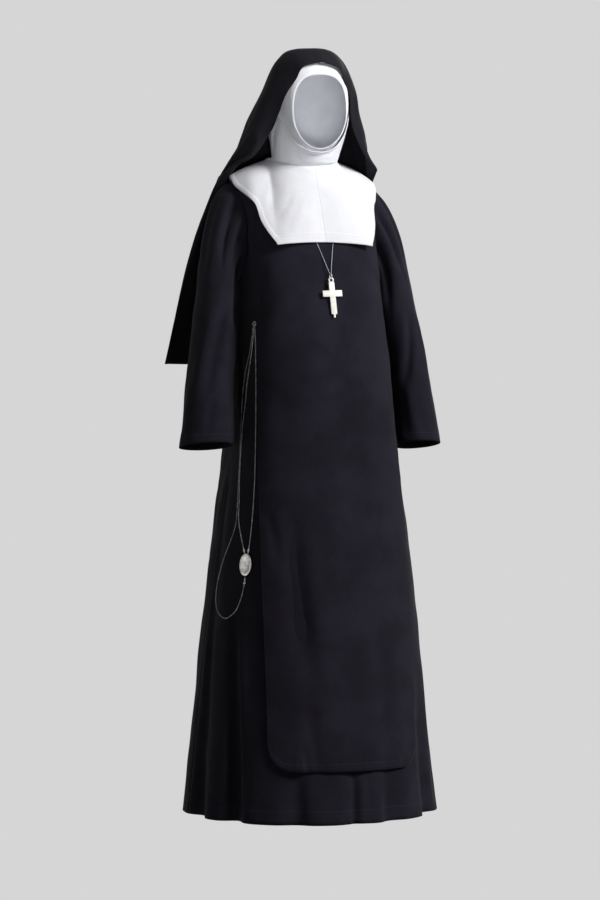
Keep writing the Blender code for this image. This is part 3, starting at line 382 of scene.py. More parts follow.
# Sleeves: a is the arc from the shoulder line, + towards the back, and b is z
SLEEVE_RIGHT_CREASES = (
    (-0.046, 0.100, -0.068, -0.200, 0.008, -0.0098, 0.007),
    (-0.080, 0.100, -0.098, -0.200, 0.008, -0.0090, 0.006),
    (-0.064, 0.100, -0.082, -0.170, 0.006, 0.0046, 0.006),
    (-0.096, 0.100, -0.104, -0.150, 0.004, -0.0050, 0.005),
    (-0.028, 0.020, -0.036, -0.240, -0.004, 0.0046, 0.012),
    (-0.110, -0.030, -0.112, -0.200, 0.004, 0.0036, 0.008),
    (-0.120, -0.120, -0.130, -0.330, 0.004, -0.0150, 0.015),
    (-0.012, 0.000, -0.014, -0.200, 0.004, -0.0040, 0.010),
    (-0.096, -0.210, -0.060, -0.480, 0.010, -0.0062, 0.015),
    (-0.080, -0.420, -0.068, -0.530, 0.004, -0.0030, 0.010),
    (-0.060, -0.250, -0.036, -0.440, 0.006, 0.0034, 0.015),
    (-0.140, -0.300, -0.112, -0.400, 0.004, 0.0036, 0.010),
    (0.040, -0.020, 0.060, -0.300, 0.008, -0.0056, 0.012),
    (0.066, -0.010, 0.084, -0.260, 0.006, 0.0040, 0.012),
    (0.095, -0.040, 0.112, -0.280, -0.006, -0.0056, 0.012),
    (-0.020, -0.340, 0.020, -0.560, 0.008, -0.0034, 0.016),
    (0.070, -0.330, 0.060, -0.520, 0.006, 0.0034, 0.016),
)
SLEEVE_LEFT_CREASES = (
    (-0.100, 0.100, -0.128, -0.300, 0.010, -0.0105, 0.010),
    (-0.072, 0.100, -0.090, -0.240, 0.004, 0.0056, 0.010),
    (-0.050, 0.100, -0.060, -0.230, -0.006, -0.0090, 0.007),
    (-0.030, 0.100, -0.038, -0.180, 0.004, -0.0050, 0.006),
    (-0.026, 0.010, -0.034, -0.200, 0.004, 0.0044, 0.010),
    (-0.004, 0.010, -0.008, -0.190, 0.004, -0.0040, 0.009),
    (-0.140, -0.020, -0.144, -0.200, 0.004, 0.0036, 0.008),
    (-0.070, -0.250, -0.130, -0.430, 0.010, -0.0080, 0.011),
    (-0.110, -0.400, -0.100, -0.540, -0.004, 0.0040, 0.013),
    (-0.040, -0.250, -0.052, -0.420, 0.006, 0.0038, 0.014),
    (0.040, -0.020, 0.060, -0.300, 0.008, -0.0056, 0.013),
    (0.066, -0.010, 0.082, -0.260, 0.006, 0.0040, 0.012),
    (0.092, -0.040, 0.110, -0.280, -0.006, -0.0056, 0.012),
    (-0.010, -0.300, 0.010, -0.560, 0.008, -0.0036, 0.016),
)
# Veil: a is the share across the front edge, b the share from that edge to the hem, times VEIL_LENGTH
VEIL_LENGTH = 0.60
VEIL_BREADTH = 0.36
VEIL_CREASES = (
    (-0.250, 0.160, -0.300, 0.640, 0.012, -0.0056, 0.016),
    (-0.290, 0.100, -0.335, 0.640, 0.008, 0.0044, 0.014),
    (-0.215, 0.020, -0.262, 0.300, 0.010, -0.0030, 0.014),
    (-0.200, 0.120, -0.215, 0.660, -0.010, 0.0046, 0.018),
    (-0.150, 0.200, -0.160, 0.660, 0.010, -0.0070, 0.018),
    (-0.100, 0.180, -0.100, 0.660, 0.006, 0.0040, 0.018),
    (-0.045, 0.220, -0.050, 0.660, -0.006, -0.0052, 0.020),
    (0.010, 0.180, 0.010, 0.660, 0.006, 0.0060, 0.020),
    (0.065, 0.220, 0.070, 0.660, 0.006, -0.0052, 0.020),
    (0.120, 0.180, 0.125, 0.660, -0.006, 0.0040, 0.018),
    (0.170, 0.200, 0.180, 0.660, 0.008, -0.0050, 0.018),
    (0.220, 0.140, 0.240, 0.660, 0.006, 0.0040, 0.018),
    (0.270, 0.160, 0.310, 0.640, -0.008, -0.0040, 0.016),
)
# Guimpe: the bib's a is x and b is z; the neck's a is the arc from the chin and b its share down
BIB_CREASES = (
    (-0.050, -0.010, -0.105, -0.090, 0.004, -0.0012, 0.007),
    (-0.030, -0.030, -0.080, -0.120, 0.004, 0.0010, 0.008),
    (-0.086, 0.010, -0.125, -0.060, 0.004, 0.0010, 0.008),
    (0.050, -0.010, 0.095, -0.080, -0.004, -0.0010, 0.008),
    (0.030, -0.040, 0.050, -0.110, -0.003, 0.0008, 0.010),
)
NECK_CREASES = (
    (-0.098, -0.20, -0.062, 1.20, 0.004, -0.0034, 0.006),
    (-0.080, 0.10, -0.036, 1.10, -0.004, 0.0020, 0.006),
    (-0.045, 0.00, -0.010, 0.80, 0.004, -0.0016, 0.006),
    (0.060, -0.10, 0.040, 1.00, -0.004, -0.0022, 0.006),
    (0.085, 0.00, 0.075, 1.10, 0.003, 0.0016, 0.006),
    (0.120, -0.10, 0.110, 1.10, -0.004, -0.0020, 0.007),
    (-0.135, -0.10, -0.125, 1.10, 0.004, -0.0020, 0.007),
)


def smooth(x):
    x = np.clip(x, 0.0, 1.0)
    return x * x * (3.0 - 2.0 * x)


def hermite(a, b, slope_a, slope_b, t):
    t2 = t * t
    t3 = t2 * t
    return (2 * t3 - 3 * t2 + 1) * a + (t3 - 2 * t2 + t) * slope_a + (3 * t2 - 2 * t3) * b + (t3 - t2) * slope_b


def row_at(table, key):
    """Each column of the table at these keys, on smooth curves through its rows."""
    rows = np.array(sorted(table))
    key = np.clip(key, rows[0, 0], rows[-1, 0])
    i = np.clip(np.searchsorted(rows[:, 0], key, side="right") - 1, 0, len(rows) - 2)
    a = rows[i]
    b = rows[i + 1]
    before = rows[np.maximum(i - 1, 0)]
    after = rows[np.minimum(i + 2, len(rows) - 1)]
    width = (b - a)[..., :1]
    slope_a = (b - before) / (b - before)[..., :1] * width
    slope_b = (after - a) / (after - a)[..., :1] * width
    t = (key - a[..., 0]) / width[..., 0]
    return np.moveaxis(hermite(a, b, slope_a, slope_b, t[..., None])[..., 1:], -1, 0)


def stack(x, y, z):
    return np.stack(np.broadcast_arrays(x, y, z), axis=-1)


def place(x, forward, z):
    """Points from their forward distance, which is -Y."""
    return stack(x, -np.asarray(forward), z)


def unit(v):
    return v / np.maximum(np.linalg.norm(v, axis=-1, keepdims=True), 1e-12)


def fold_depth(angle, z):
    total = 0.0
    for at, depth, spread, top in SKIRT_FOLDS:
        away = (angle - at + 180.0) % 360.0 - 180.0
        grown = smooth((top - z) / (top - HEM_Z))
        total = total + depth * grown * np.exp(-((away / spread) ** 2))
    return total


def skirt_point(angle, z, folds=True):
    """The tunic below the chest: angle in degrees from the front, + to the wearer's left."""
    half, seam, front, back, square = row_at(BODY_SECTIONS, z)
    turn = np.radians(angle)
    side = np.abs(np.sin(turn))
    along = np.abs(np.cos(turn))
    reach = (side**square + along**square) ** (-1.0 / square)
    depth = np.where(np.cos(turn) >= 0, front - seam, seam - back)
    if folds:
        reach = reach * (1.0 - fold_depth(angle, z) / half)
    return place(half * reach * np.sin(turn), seam + depth * reach * np.cos(turn), z)


def yoke_top(share, facing):
    """Neckline, then shoulder seam, from the centre (0) to the shoulder tip (1), as (out, forward, up)."""
    turn = np.radians(90.0) * np.minimum(share, NECK_SHARE) / NECK_SHARE
    fall = np.maximum(np.cos(turn), 0.0)
    if facing > 0:
        forward = NECK_Y + NECK_FRONT_DEPTH * fall
        z = NECK_Z - NECK_FRONT_DROP * fall**1.5
    else:
        forward = NECK_Y - NECK_BACK_DEPTH * fall
        z = NECK_Z + NECK_BACK_RISE * fall
    neckline = stack(NECK_HALF * np.sin(turn), forward, z)
    t = (share - NECK_SHARE) / (1.0 - NECK_SHARE)
    corner = np.array((NECK_HALF, NECK_Y, NECK_Z))
    seam = corner + (np.array(SHOULDER_TIP) - corner) * t[..., None]
    seam[..., 2] += SHOULDER_CROWN * np.sin(np.pi * t)
    return np.where((share <= NECK_SHARE)[..., None], neckline, seam)


def yoke_point(share, t, facing):
    """The tunic above the chest, as (out, forward, up): share 0 centre to 1 armhole, t 0 top to 1 chest."""
    share, t = np.broadcast_arrays(np.asarray(share, float), np.asarray(t, float))
    angle = 90.0 * share if facing > 0 else 180.0 - 90.0 * share
    level = np.full(share.shape, CHEST_Z)
    flip = np.array((1.0, -1.0, 1.0))
    low = skirt_point(angle, level, folds=False) * flip
    below = skirt_point(angle, level - ARRIVE_STEP, folds=False) * flip
    arrive = (below - low) * (ARRIVE_LENGTH / ARRIVE_STEP)
    edge = np.array(ARRIVE_FRONT if facing > 0 else ARRIVE_BACK)
    arrive = arrive + (edge - arrive) * smooth((share - ARRIVE_EDGE_SHARE) / (1.0 - ARRIVE_EDGE_SHARE))[..., None]
    leave = np.moveaxis(row_at(LEAVE_FRONT if facing > 0 else LEAVE_BACK, share), 0, -1)
    return hermite(yoke_top(share, facing), low, leave, arrive, t[..., None])


def body_point(across, down, facing, folds=True):
    """The tunic's outer face. across -1..1 from the wearer's right seam to the left; down 0..1 yoke, 1..2 skirt."""
    across, down = np.broadcast_arrays(np.asarray(across, float), np.asarray(down, float))
    side = np.where(across >= 0, 1.0, -1.0)
    share = np.minimum(np.abs(across), 1.0)
    p = yoke_point(share, np.clip(down, 0.0, 1.0), facing)
    upper = place(side * p[..., 0], p[..., 1], p[..., 2])
    z = CHEST_Z + (HEM_Z - CHEST_Z) * np.maximum(down - 1.0, 0.0)
    angle = side * (90.0 * share if facing > 0 else 180.0 - 90.0 * share)
    return np.where((down <= 1.0)[..., None], upper, skirt_point(angle, z, folds))


def down_at(z):
    """The skirt's down value at a height below the chest."""
    return 1.0 + (z - CHEST_Z) / (HEM_Z - CHEST_Z)


def moved_out(surface, a, b, distance, step=0.004):
    """Points of surface(a, b) moved along its normal. The cloth's outer side is positive."""
    along = surface(a + step, b) - surface(a - step, b)
    down = surface(a, b + step) - surface(a, b - step)
    normal = unit(np.cross(down, along))
    return surface(a, b) + normal * np.asarray(distance)[..., None]


def on_body(across, down, facing, out):
    """The plain tunic's face, moved out by a distance."""
    return moved_out(lambda a, b: body_point(a, b, facing, folds=False), across, down, facing * np.asarray(out))


def t_at(share, z, facing):
    """How far down the yoke (0..1) the cloth reaches a height."""
    low = np.zeros(np.broadcast(share, z).shape)
    high = low + 1.0
    for _ in range(24):
        middle = (low + high) / 2
        above = yoke_point(share, middle, facing)[..., 2] > z
        low = np.where(above, middle, low)
        high = np.where(above, high, middle)
    return (low + high) / 2


def shoulder_share(x):
    """The yoke's share where the shoulder seam is this far out."""
    return NECK_SHARE + (1.0 - NECK_SHARE) * (x - NECK_HALF) / (SHOULDER_TIP[0] - NECK_HALF)


def shoulder_seam(share, facing, out):
    """Where a layer's front and back meet on the shoulder, each half a gap to its own side."""
    middle = (on_body(share, 0.0 * share, 1, out) + on_body(share, 0.0 * share, -1, out)) / 2
    middle[..., 1] -= facing * SHOULDER_GAP / 2
    return middle


def scapular_share(down, facing):
    """Half the scapular's width at this distance down, as a share of the tunic's half."""
    chest = row_at(SCAPULAR_EDGE, np.array([CHEST_Z]))[0][0]
    leave, arrive = SCAPULAR_FLOW_FRONT if facing > 0 else SCAPULAR_FLOW_BACK
    upper = hermite(shoulder_share(SCAPULAR_SHOULDER_HALF), chest, leave, arrive, np.clip(down, 0.0, 1.0))
    z = CHEST_Z + (HEM_Z - CHEST_Z) * (down - 1.0)
    return np.where(down <= 1.0, upper, row_at(SCAPULAR_EDGE, z)[0])


def scapular_point(across, down, facing):
    """The scapular's face: down 0..1 yoke, 1..2 from the chest to its own rounded hem."""
    past = np.maximum(np.abs(across) * SCAPULAR_HALF_WIDTH - (SCAPULAR_HALF_WIDTH - CORNER_RADIUS), 0.0)
    rise = CORNER_RADIUS - np.sqrt(np.maximum(CORNER_RADIUS**2 - past**2, 0.0))
    last = down_at(SCAPULAR_HEM_Z + rise)
    reach = np.where(down > 1.0, 1.0 + (down - 1.0) * (last - 1.0), down)
    share = across * scapular_share(reach, facing)
    out = SCAPULAR_OUT + (0.0 if facing > 0 else BACK_EASE) * smooth(reach / 0.3)
    points = on_body(share, reach, facing, out)
    seam = (down <= 0.0) & (np.abs(share) > NECK_SHARE + 0.01)
    return np.where(seam[..., None], shoulder_seam(share, facing, SCAPULAR_OUT), points)


def bib_point(across, v, facing):
    """The guimpe's flat part: across -1..1, v 0 at the neck to 1 at its hem."""
    side = np.abs(across)
    top = shoulder_share(BIB_SHOULDER_HALF)
    if facing > 0:
        low_share = BIB_HEM_SHARE
        hem_z = BIB_HEM_Z + BIB_HEM_BOW * (1.0 - side**2)
        stand = BIB_STAND * side**2 * smooth(v) ** 1.5
        narrowed = (np.maximum(v - BIB_FLOW_START, 0.0) / (1.0 - BIB_FLOW_START)) ** BIB_FLOW_POWER
        ease = 0.0
    else:
        low_share = top * GUIMPE_BACK_TAPER
        hem_z = GUIMPE_BACK_Z + 0.0 * side
        stand = 0.0
        narrowed = v
        ease = GUIMPE_BACK_EASE
    low = t_at(side * low_share, hem_z, facing)
    share = np.copysign(side * (top + (low_share - top) * narrowed), across)
    if facing > 0:
        share = share * (1.0 + BIB_EDGE_EASE * 9.48 * v * (1.0 - v) ** 3)
    points = on_body(share, low * v, facing, GUIMPE_OUT + ease * smooth(v * 2.0))
    points[..., 1] -= facing * stand
    seam = (v <= 0.0) & (np.abs(share) > NECK_SHARE + 0.01)
    return np.where(seam[..., None], shoulder_seam(share, facing, GUIMPE_OUT), points)


def head_point(table, xi, eta):
    """The head covering's face from flat coordinates: rank from the crown, xi to the left, eta forward."""
    rank = np.hypot(xi, eta)
    z, half, centre, front, back = row_at(table, np.clip(rank, 0.0, 1.0))
    depth = np.where(eta >= 0, front, back)
    near = np.maximum(rank, 1e-9)
    return place(half * xi / near, centre + depth * eta / near, z)


def flat_of(table, point):
    """Flat coordinates whose head_point lies in this direction at this height."""
    low = np.zeros(point.shape[:-1])
    high = low + 1.0
    for _ in range(24):
        middle = (low + high) / 2
        above = row_at(table, middle)[0] > point[..., 2]
        low = np.where(above, middle, low)
        high = np.where(above, high, middle)
    rank = (low + high) / 2
    _, half, centre, front, back = row_at(table, rank)
    forward = -point[..., 1] - centre
    depth = np.where(forward >= 0, front, back)
    turn = np.arctan2(point[..., 0] / half, forward / depth)
    return rank * np.sin(turn), rank * np.cos(turn)


def settled(table, edge, xi1, eta1, w, settle_width):
    """The head covering's face from an edge point (w 0) to flat coordinates on the table's sections (w 1)."""
    xi0, eta0 = flat_of(table, edge)
    point = head_point(table, xi0 + (xi1 - xi0) * w, eta0 + (eta1 - eta0) * w)
    settle = 1.0 - smooth(w / settle_width)
    return point + (edge - head_point(table, xi0, eta0)) * settle[..., None]


def face_edge(turn):
    """The face opening's edge: turn in degrees, 0 at the chin, 180 at the forehead, + to the wearer's left."""
    t = np.radians(turn)
    middle = (FACE_TOP_Z + FACE_BOTTOM_Z) / 2
    half_height = (FACE_TOP_Z - FACE_BOTTOM_Z) / 2
    end = np.where(np.cos(t) < 0, FACE_FORWARD_TOP, FACE_FORWARD_CHIN)
    forward = FACE_FORWARD_SIDE + (end - FACE_FORWARD_SIDE) * np.cos(t) ** 2
    power = np.where(np.cos(t) < 0, FACE_TOP_POWER, 1.0)
    x = np.copysign(np.abs(np.sin(t)) ** power, np.sin(t))
    z = np.copysign(np.abs(np.cos(t)) ** power, np.cos(t))
    return place(FACE_HALF_WIDTH * x, forward, middle - half_height * z)


def coif_point(turn, w):
    """The coif's face from the opening (w 0) over the head to the neck (w 1)."""
    turn, w = np.broadcast_arrays(np.asarray(turn, float), np.asarray(w, float))
    t = np.radians(turn)
    t = t + COIF_FLOW * np.sin(t)
    return settled(COIF_SECTIONS, face_edge(turn), np.sin(t), np.cos(t), w, COIF_SETTLE)


def neck_point(turn, v):
    """The guimpe's neck: from its upper edge on the coif (v 0) to the bib's neckline (v 1)."""
    rise = row_at(NECK_RISE, np.abs(turn))[0]
    share = np.copysign(NECK_SHARE * (1.0 - np.abs(np.abs(turn) - 90.0) / 90.0), turn)
    front = (np.abs(turn) <= 90.0)[..., None]
    top = 0.0 * turn
    foot = np.where(front, on_body(share, top, 1, GUIMPE_OUT), on_body(share, top, -1, GUIMPE_OUT))
    upper = moved_out(coif_point, turn, rise + (NECK_COIF_END - rise) * v / NECK_TURN_SHARE, NECK_OUT)
    start = moved_out(coif_point, turn, top + NECK_COIF_END, NECK_OUT)
    before = moved_out(coif_point, turn, top + NECK_COIF_END - 0.02, NECK_OUT)
    t = np.clip((v - NECK_TURN_SHARE) / (1.0 - NECK_TURN_SHARE), 0.0, 1.0)[..., None]
    away = unit(start - before) * NECK_BEND
    out = unit(foot - place(0.0, NECK_Y, foot[..., 2]))
    drop = np.array((0.0, 0.0, 1.0))
    foot_gap = foot - out * NECK_SEAM + drop * NECK_SEAM
    arrive = (out * 0.5 - drop) * NECK_BEND * 0.8
    return np.where((v <= NECK_TURN_SHARE)[..., None], upper, hermite(start, foot_gap, away, arrive, t))


def veil_point(across, v):
    """The veil's face: across -1..1 along its front edge, v 0 at that edge to 1 at the hem."""
    across, v = np.broadcast_arrays(np.asarray(across, float), np.asarray(v, float))
    x, forward, z = row_at(VEIL_EDGE, np.abs(across))
    edge = place(np.copysign(x, across), forward, z)
    turn = np.radians(180.0 - VEIL_HEM_ANGLE * np.abs(across))
    return settled(VEIL_SECTIONS, edge, np.copysign(np.sin(turn), across), np.cos(turn), v, VEIL_SETTLE)


def sleeve_ring(table, q, z):
    """Points of the sleeve below the armhole, as (out, forward, up)."""
    x, forward, across, along, slant = row_at(table, z)
    turn = 2.0 * np.pi * q
    return stack(x + across * np.cos(turn), forward - along * np.sin(turn), z - slant * np.sin(turn))


def sleeve_point(table, q, v):
    """The sleeve's face as (out, forward, up): v 0 at the armhole, 1 at the cuff."""
    q, v = np.broadcast_arrays(np.asarray(q, float) % 1.0, np.asarray(v, float))
    first = max(row[0] for row in table)
    last = min(row[0] for row in table)
    down = np.clip((v - SLEEVE_HEAD_SHARE) / (1.0 - SLEEVE_HEAD_SHARE), 0.0, 1.0)
    lower = sleeve_ring(table, q, first + (last - first) * down)
    t = np.clip(v / SLEEVE_HEAD_SHARE, 0.0, 1.0)[..., None]
    rear = yoke_point(1.0, np.clip(q * 2.0, 0.0, 1.0), -1)
    fore = yoke_point(1.0, np.clip((1.0 - q) * 2.0, 0.0, 1.0), 1)
    start = np.where((q <= 0.5)[..., None], rear, fore)
    level = np.full(q.shape, first)
    end = sleeve_ring(table, q, level)
    below = sleeve_ring(table, q, level - ARRIVE_STEP)
    turn = 2.0 * np.pi * q
    top = ((1.0 + np.cos(turn)) / 2.0)[..., None]
    leave = np.array(HEAD_LEAVE_LOW) + (np.array(HEAD_LEAVE_TOP) - np.array(HEAD_LEAVE_LOW)) * top
    leave[..., 1] -= HEAD_LEAVE_SIDE * np.sin(turn)
    leave[..., 2] -= HEAD_LEAVE_DROP * np.sin(turn) ** 2
    length = np.linalg.norm(end - start, axis=-1, keepdims=True)
    arrive = (below - end) / ARRIVE_STEP * length
    upper = hermite(start, end, leave, arrive, t) + unit(leave) * SLEEVE_SEAM * (1.0 - t)
    return np.where((v > SLEEVE_HEAD_SHARE)[..., None], lower, upper)


def creases(table, a, b):
    """Soft troughs and ridges along bowed lines, in a panel's flat coordinates."""
    total = np.zeros(np.broadcast(a, b).shape)
    for a0, b0, a1, b1, bow, height, width in table:
        run = math.hypot(a1 - a0, b1 - b0)
        t = ((a - a0) * (a1 - a0) + (b - b0) * (b1 - b0)) / run**2
        off = ((b - b0) * (a1 - a0) - (a - a0) * (b1 - b0)) / run - bow * 4.0 * t * (1.0 - t)
        fade = smooth(t / 0.3) * smooth((1.0 - t) / 0.35)
        total += height * fade * (np.exp(-((off / width) ** 2)) - 0.3 * np.exp(-((off / width / 2.2) ** 2)))
    return total


def rumple(a, b, size, depth, seed):
    """A gentle uneven surface from crossed waves of unlike lengths."""
    total = 0.0
    for n in range(5):
        turn = seed * 1.7 + n * 2.4
        wave = 2.0 * np.pi / (size * (0.7 + 0.28 * n))
        shift = seed * 3.1 + n * 1.9
        along = a * math.cos(turn) + b * math.sin(turn)
        cross = b * math.cos(turn) - a * math.sin(turn)
        total = total + np.sin(along * wave + shift + 1.3 * np.sin(cross * wave * 0.6 + shift))
    return total * depth / 5


def pucker(along, edge_distance, line, pitch, depth, seed):
    """Small gathers across a stitched line at a distance from an edge."""
    near = np.exp(-(((edge_distance - line) / 0.009) ** 2))
    uneven = 0.5 + 0.5 * np.sin(along / pitch * 0.83 + seed)
    return depth * near * uneven * np.sin(2.0 * np.pi * along / pitch + 2.0 * np.sin(along / pitch * 1.7 + seed))


def arc_lengths(points):
    """Distance along each row from its first column, and down each column from its first row."""
    row_steps = np.linalg.norm(np.diff(points, axis=1), axis=-1)
    column_steps = np.linalg.norm(np.diff(points, axis=0), axis=-1)
    along = np.concatenate([np.zeros((points.shape[0], 1)), np.cumsum(row_steps, axis=1)], axis=1)
    down = np.concatenate([np.zeros((1, points.shape[1])), np.cumsum(column_steps, axis=0)], axis=0)
    return along, down


def normals_of(points, wrap=False):
    """Normals of a grid of points, outwards where columns run to the wearer's left on a front."""
    if wrap:
        padded = np.concatenate([points[:, -2:-1], points, points[:, 1:2]], axis=1)
        along = padded[:, 2:] - padded[:, :-2]
    else:
        along = np.gradient(points, axis=1)
    down = np.gradient(points, axis=0)
    return unit(np.cross(down, along))


def cloth_piece(name, points, wall, wrap=False, tube_edges=False):
    """A thin cloth shell on a grid of points, with its flat coordinates as UV maps in metres."""
    rows, columns = points.shape[0] - 1, points.shape[1] - 1
    mesh = bpy.data.meshes.new(name)
    bm = bmesh.new()
    bmesh.ops.create_grid(bm, x_segments=columns, y_segments=rows, size=0.5)
    bm.verts.ensure_lookup_table()
    flat = np.array([vertex.co[:2] for vertex in bm.verts])
    column = np.rint((flat[:, 0] + 0.5) * columns).astype(int)
    row = np.rint((0.5 - flat[:, 1]) * rows).astype(int)
    bm.to_mesh(mesh)
    bm.free()
    mesh.vertices.foreach_set("co", points[row, column].astype(np.float32).ravel())
    along, down = arc_lengths(points)
    length = down[-1:, :]
    middle = along[:, -1:] / 2
    side = np.full(along.shape, 1.0) if wrap else np.minimum(along, along[:, -1:] - along)
    hem = np.minimum(down, length - down) if tube_edges else length - down
    corner = np.empty(len(mesh.loops), int)
    mesh.loops.foreach_get("vertex_index", corner)
    maps = (("cloth", along - middle, length - down), ("edge", side, hem))
    for label, first, second in maps:
        layer = mesh.uv_layers.new(name=label)
        pair = np.stack([first[row, column], second[row, column]], axis=-1)
        layer.data.foreach_set("uv", pair[corner].astype(np.float32).ravel())
    if wrap:
        bm = bmesh.new()
        bm.from_mesh(mesh)
        bmesh.ops.remove_doubles(bm, verts=bm.verts, dist=1e-5)
        bm.to_mesh(mesh)
        bm.free()
    mesh.shade_smooth()
    obj = bpy.data.objects.new(name, mesh)
    bpy.context.scene.collection.objects.link(obj)
    solidify = obj.modifiers.new("Wall", "SOLIDIFY")
    solidify.thickness = wall
    solidify.offset = -1.0
    solidify.use_quality_normals = True
    return obj


def finish_piece(obj, material, body, replaced=()):
    obj.data.materials.clear()
    obj.data.materials.append(material)
    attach(obj, body)
    if replaced:
        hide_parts(*replaced)
    return obj


def grid(columns, rows):
    return np.meshgrid(np.asarray(columns, float), np.asarray(rows, float))


def density(count):
    return count


def body_flat(points, across, facing):
    """Flat coordinates of a body panel: arc length from the centre, and height."""
    z = points[..., 2]
    half, seam, front, back, _ = row_at(BODY_SECTIONS, np.minimum(z, CHEST_Z))
    depth = (front - seam) if facing > 0 else (seam - back)
    quarter = math.pi / 2 * np.sqrt((half**2 + depth**2) / 2)
    return across * quarter, z


def tunic_panel(facing):
    rows = np.concatenate([np.linspace(0.04, 1.0, density(46)), np.linspace(1.0, 2.0, density(120))[1:]])
    across, down = grid(np.linspace(-1.0, 1.0, density(170 if facing > 0 else 140) + 1), rows)
    z = CHEST_Z + (HEM_Z - CHEST_Z) * np.maximum(down - 1.0, 0.0)
    quarter = math.pi / 2 * row_at(BODY_SECTIONS, z)[0]
    across = across * (1.0 - SEAM_GAP / quarter)
    points = body_point(across, down, facing)
    shoulder = (down < 1.0) & (np.abs(across) > NECK_SHARE)
    points[..., 1] -= np.where(shoulder, facing * SEAM_GAP * (1.0 - down), 0.0)
    a, b = body_flat(points, across, facing)
    table = TUNIC_CREASES if facing > 0 else TUNIC_BACK_CREASES
    edge = scapular_share(down, facing)
    bare = smooth((np.abs(across) - edge + 0.02) / 0.08)
    bare = np.maximum(bare, smooth((SCAPULAR_HEM_Z + 0.02 - z) / 0.05))
    lift = (creases(table, a, b) + rumple(a, b, 0.11, 0.0016, 1.0 + facing)) * bare
    lift = lift * smooth((1.0 - np.abs(across)) / 0.06) * smooth((down - 0.10) / 0.2)
    along, depth = arc_lengths(points)
    lift += pucker(along, depth[-1:, :] - depth, 0.028, 0.022, 0.0005, 2.0)
    points = points + normals_of(points) * (facing * lift)[..., None]
    if facing < 0:
        points = points[:, ::-1]
    return cloth_piece("tunic_front_cloth" if facing > 0 else "tunic_back_cloth", points, TUNIC_WALL)


def scapular_panel(facing):
    inner = (SCAPULAR_HALF_WIDTH - CORNER_RADIUS) / SCAPULAR_HALF_WIDTH
    corner = inner + (1.0 - inner) * np.sin(np.radians(np.linspace(0.0, 90.0, density(16) + 1)))[1:]
    middle = np.linspace(-inner, inner, density(84) + 1)
    rows = np.concatenate([np.linspace(0.0, 1.0, density(44)) ** 1.1, np.linspace(1.0, 2.0, density(140))[1:]])
    rows[0] = 0.0
    top = np.where(rows < 1.0, 0.04 + 0.96 * rows, rows)
    across, down = grid(np.concatenate([-corner[::-1], middle, corner]), top)
    points = scapular_point(across, down, facing)
    a, b = body_flat(points, across * scapular_share(down, facing), facing)
    table = SCAPULAR_CREASES if facing > 0 else SCAPULAR_BACK_CREASES
    lift = creases(table, a, b) + rumple(a, b, 0.10, 0.0016, 4.0 + facing)
    lift = lift * smooth((down - 0.06) / 0.25)
    along, depth = arc_lengths(points)
    hem = depth[-1:, :] - depth
    side = np.minimum(along, along[:, -1:] - along)
    lift += pucker(along, hem, 0.016, 0.020, 0.0006, 5.0) * smooth(side / 0.03)
    lift += pucker(depth, side, 0.010, 0.030, 0.0005, 1.0) * smooth(hem / 0.03) * smooth((down - 0.6) / 0.3)
    points = points + normals_of(points) * (facing * lift)[..., None]
    if facing < 0:
        points = points[:, ::-1]
    return cloth_piece("scapular_front_cloth" if facing > 0 else "scapular_back_cloth", points, SCAPULAR_WALL)


def bib_panel(facing):
    columns = np.linspace(-1.0, 1.0, density(110) + 1)
    across, v = grid(columns, np.linspace(0.0, 1.0, density(64 if facing > 0 else 40) + 1))
    points = bib_point(across, v, facing)
    for _ in range(BIB_EASE_ROUNDS):
        eased = points.copy()
        eased[:, 1:-1] = points[:, 1:-1] / 2 + (points[:, :-2] + points[:, 2:]) / 4
        points += (eased - points) * smooth(v / 0.12)[..., None]
    table = BIB_CREASES if facing > 0 else ()
    lift = creases(table, points[..., 0], points[..., 2]) + rumple(points[..., 0], points[..., 2], 0.06, 0.0006, 2.5)
    lift = lift * smooth(v / 0.15)
    along, depth = arc_lengths(points)
    hem = depth[-1:, :] - depth
    side = np.minimum(along, along[:, -1:] - along)
    lift += 0.0004 * (1.0 - smooth((hem - 0.0225) / 0.002))
    lift += 0.0003 * (1.0 - smooth((side - 0.0095) / 0.002)) * smooth(hem / 0.01)
    points = points + normals_of(points) * (facing * lift)[..., None]
    if facing < 0:
        points = points[:, ::-1]
    return cloth_piece("guimpe_front_cloth" if facing > 0 else "guimpe_back_cloth", points, GUIMPE_WALL)


def neck_cloth():
    turn, v = grid(np.linspace(-180.0, 180.0, density(150) + 1), np.linspace(0.0, 1.0, density(56) + 1))
    points = neck_point(turn, v)
    a = np.radians(turn) * 0.065
    lift = creases(NECK_CREASES, a, v * 1.0) * smooth(v / 0.1) * smooth((1.0 - v) / 0.12)
    round_a = 0.065 * np.sin(np.radians(turn))
    round_b = 0.065 * np.cos(np.radians(turn))
    lift += rumple(round_a, round_b + v * 0.09, 0.04, 0.0006, 3.3) * smooth((1.0 - v) / 0.12)
    points = points + normals_of(points, wrap=True) * lift[..., None]
    onward = unit(unit(points[-1:] - points[-3:-2]) + 0.8 * unit(points[-1:] * (1.0, 1.0, 0.0)))
    points = np.concatenate([points, points[-1:] + onward * NECK_OVERLAP])
    return cloth_piece("guimpe_neck_cloth", points, GUIMPE_WALL, wrap=True, tube_edges=True)


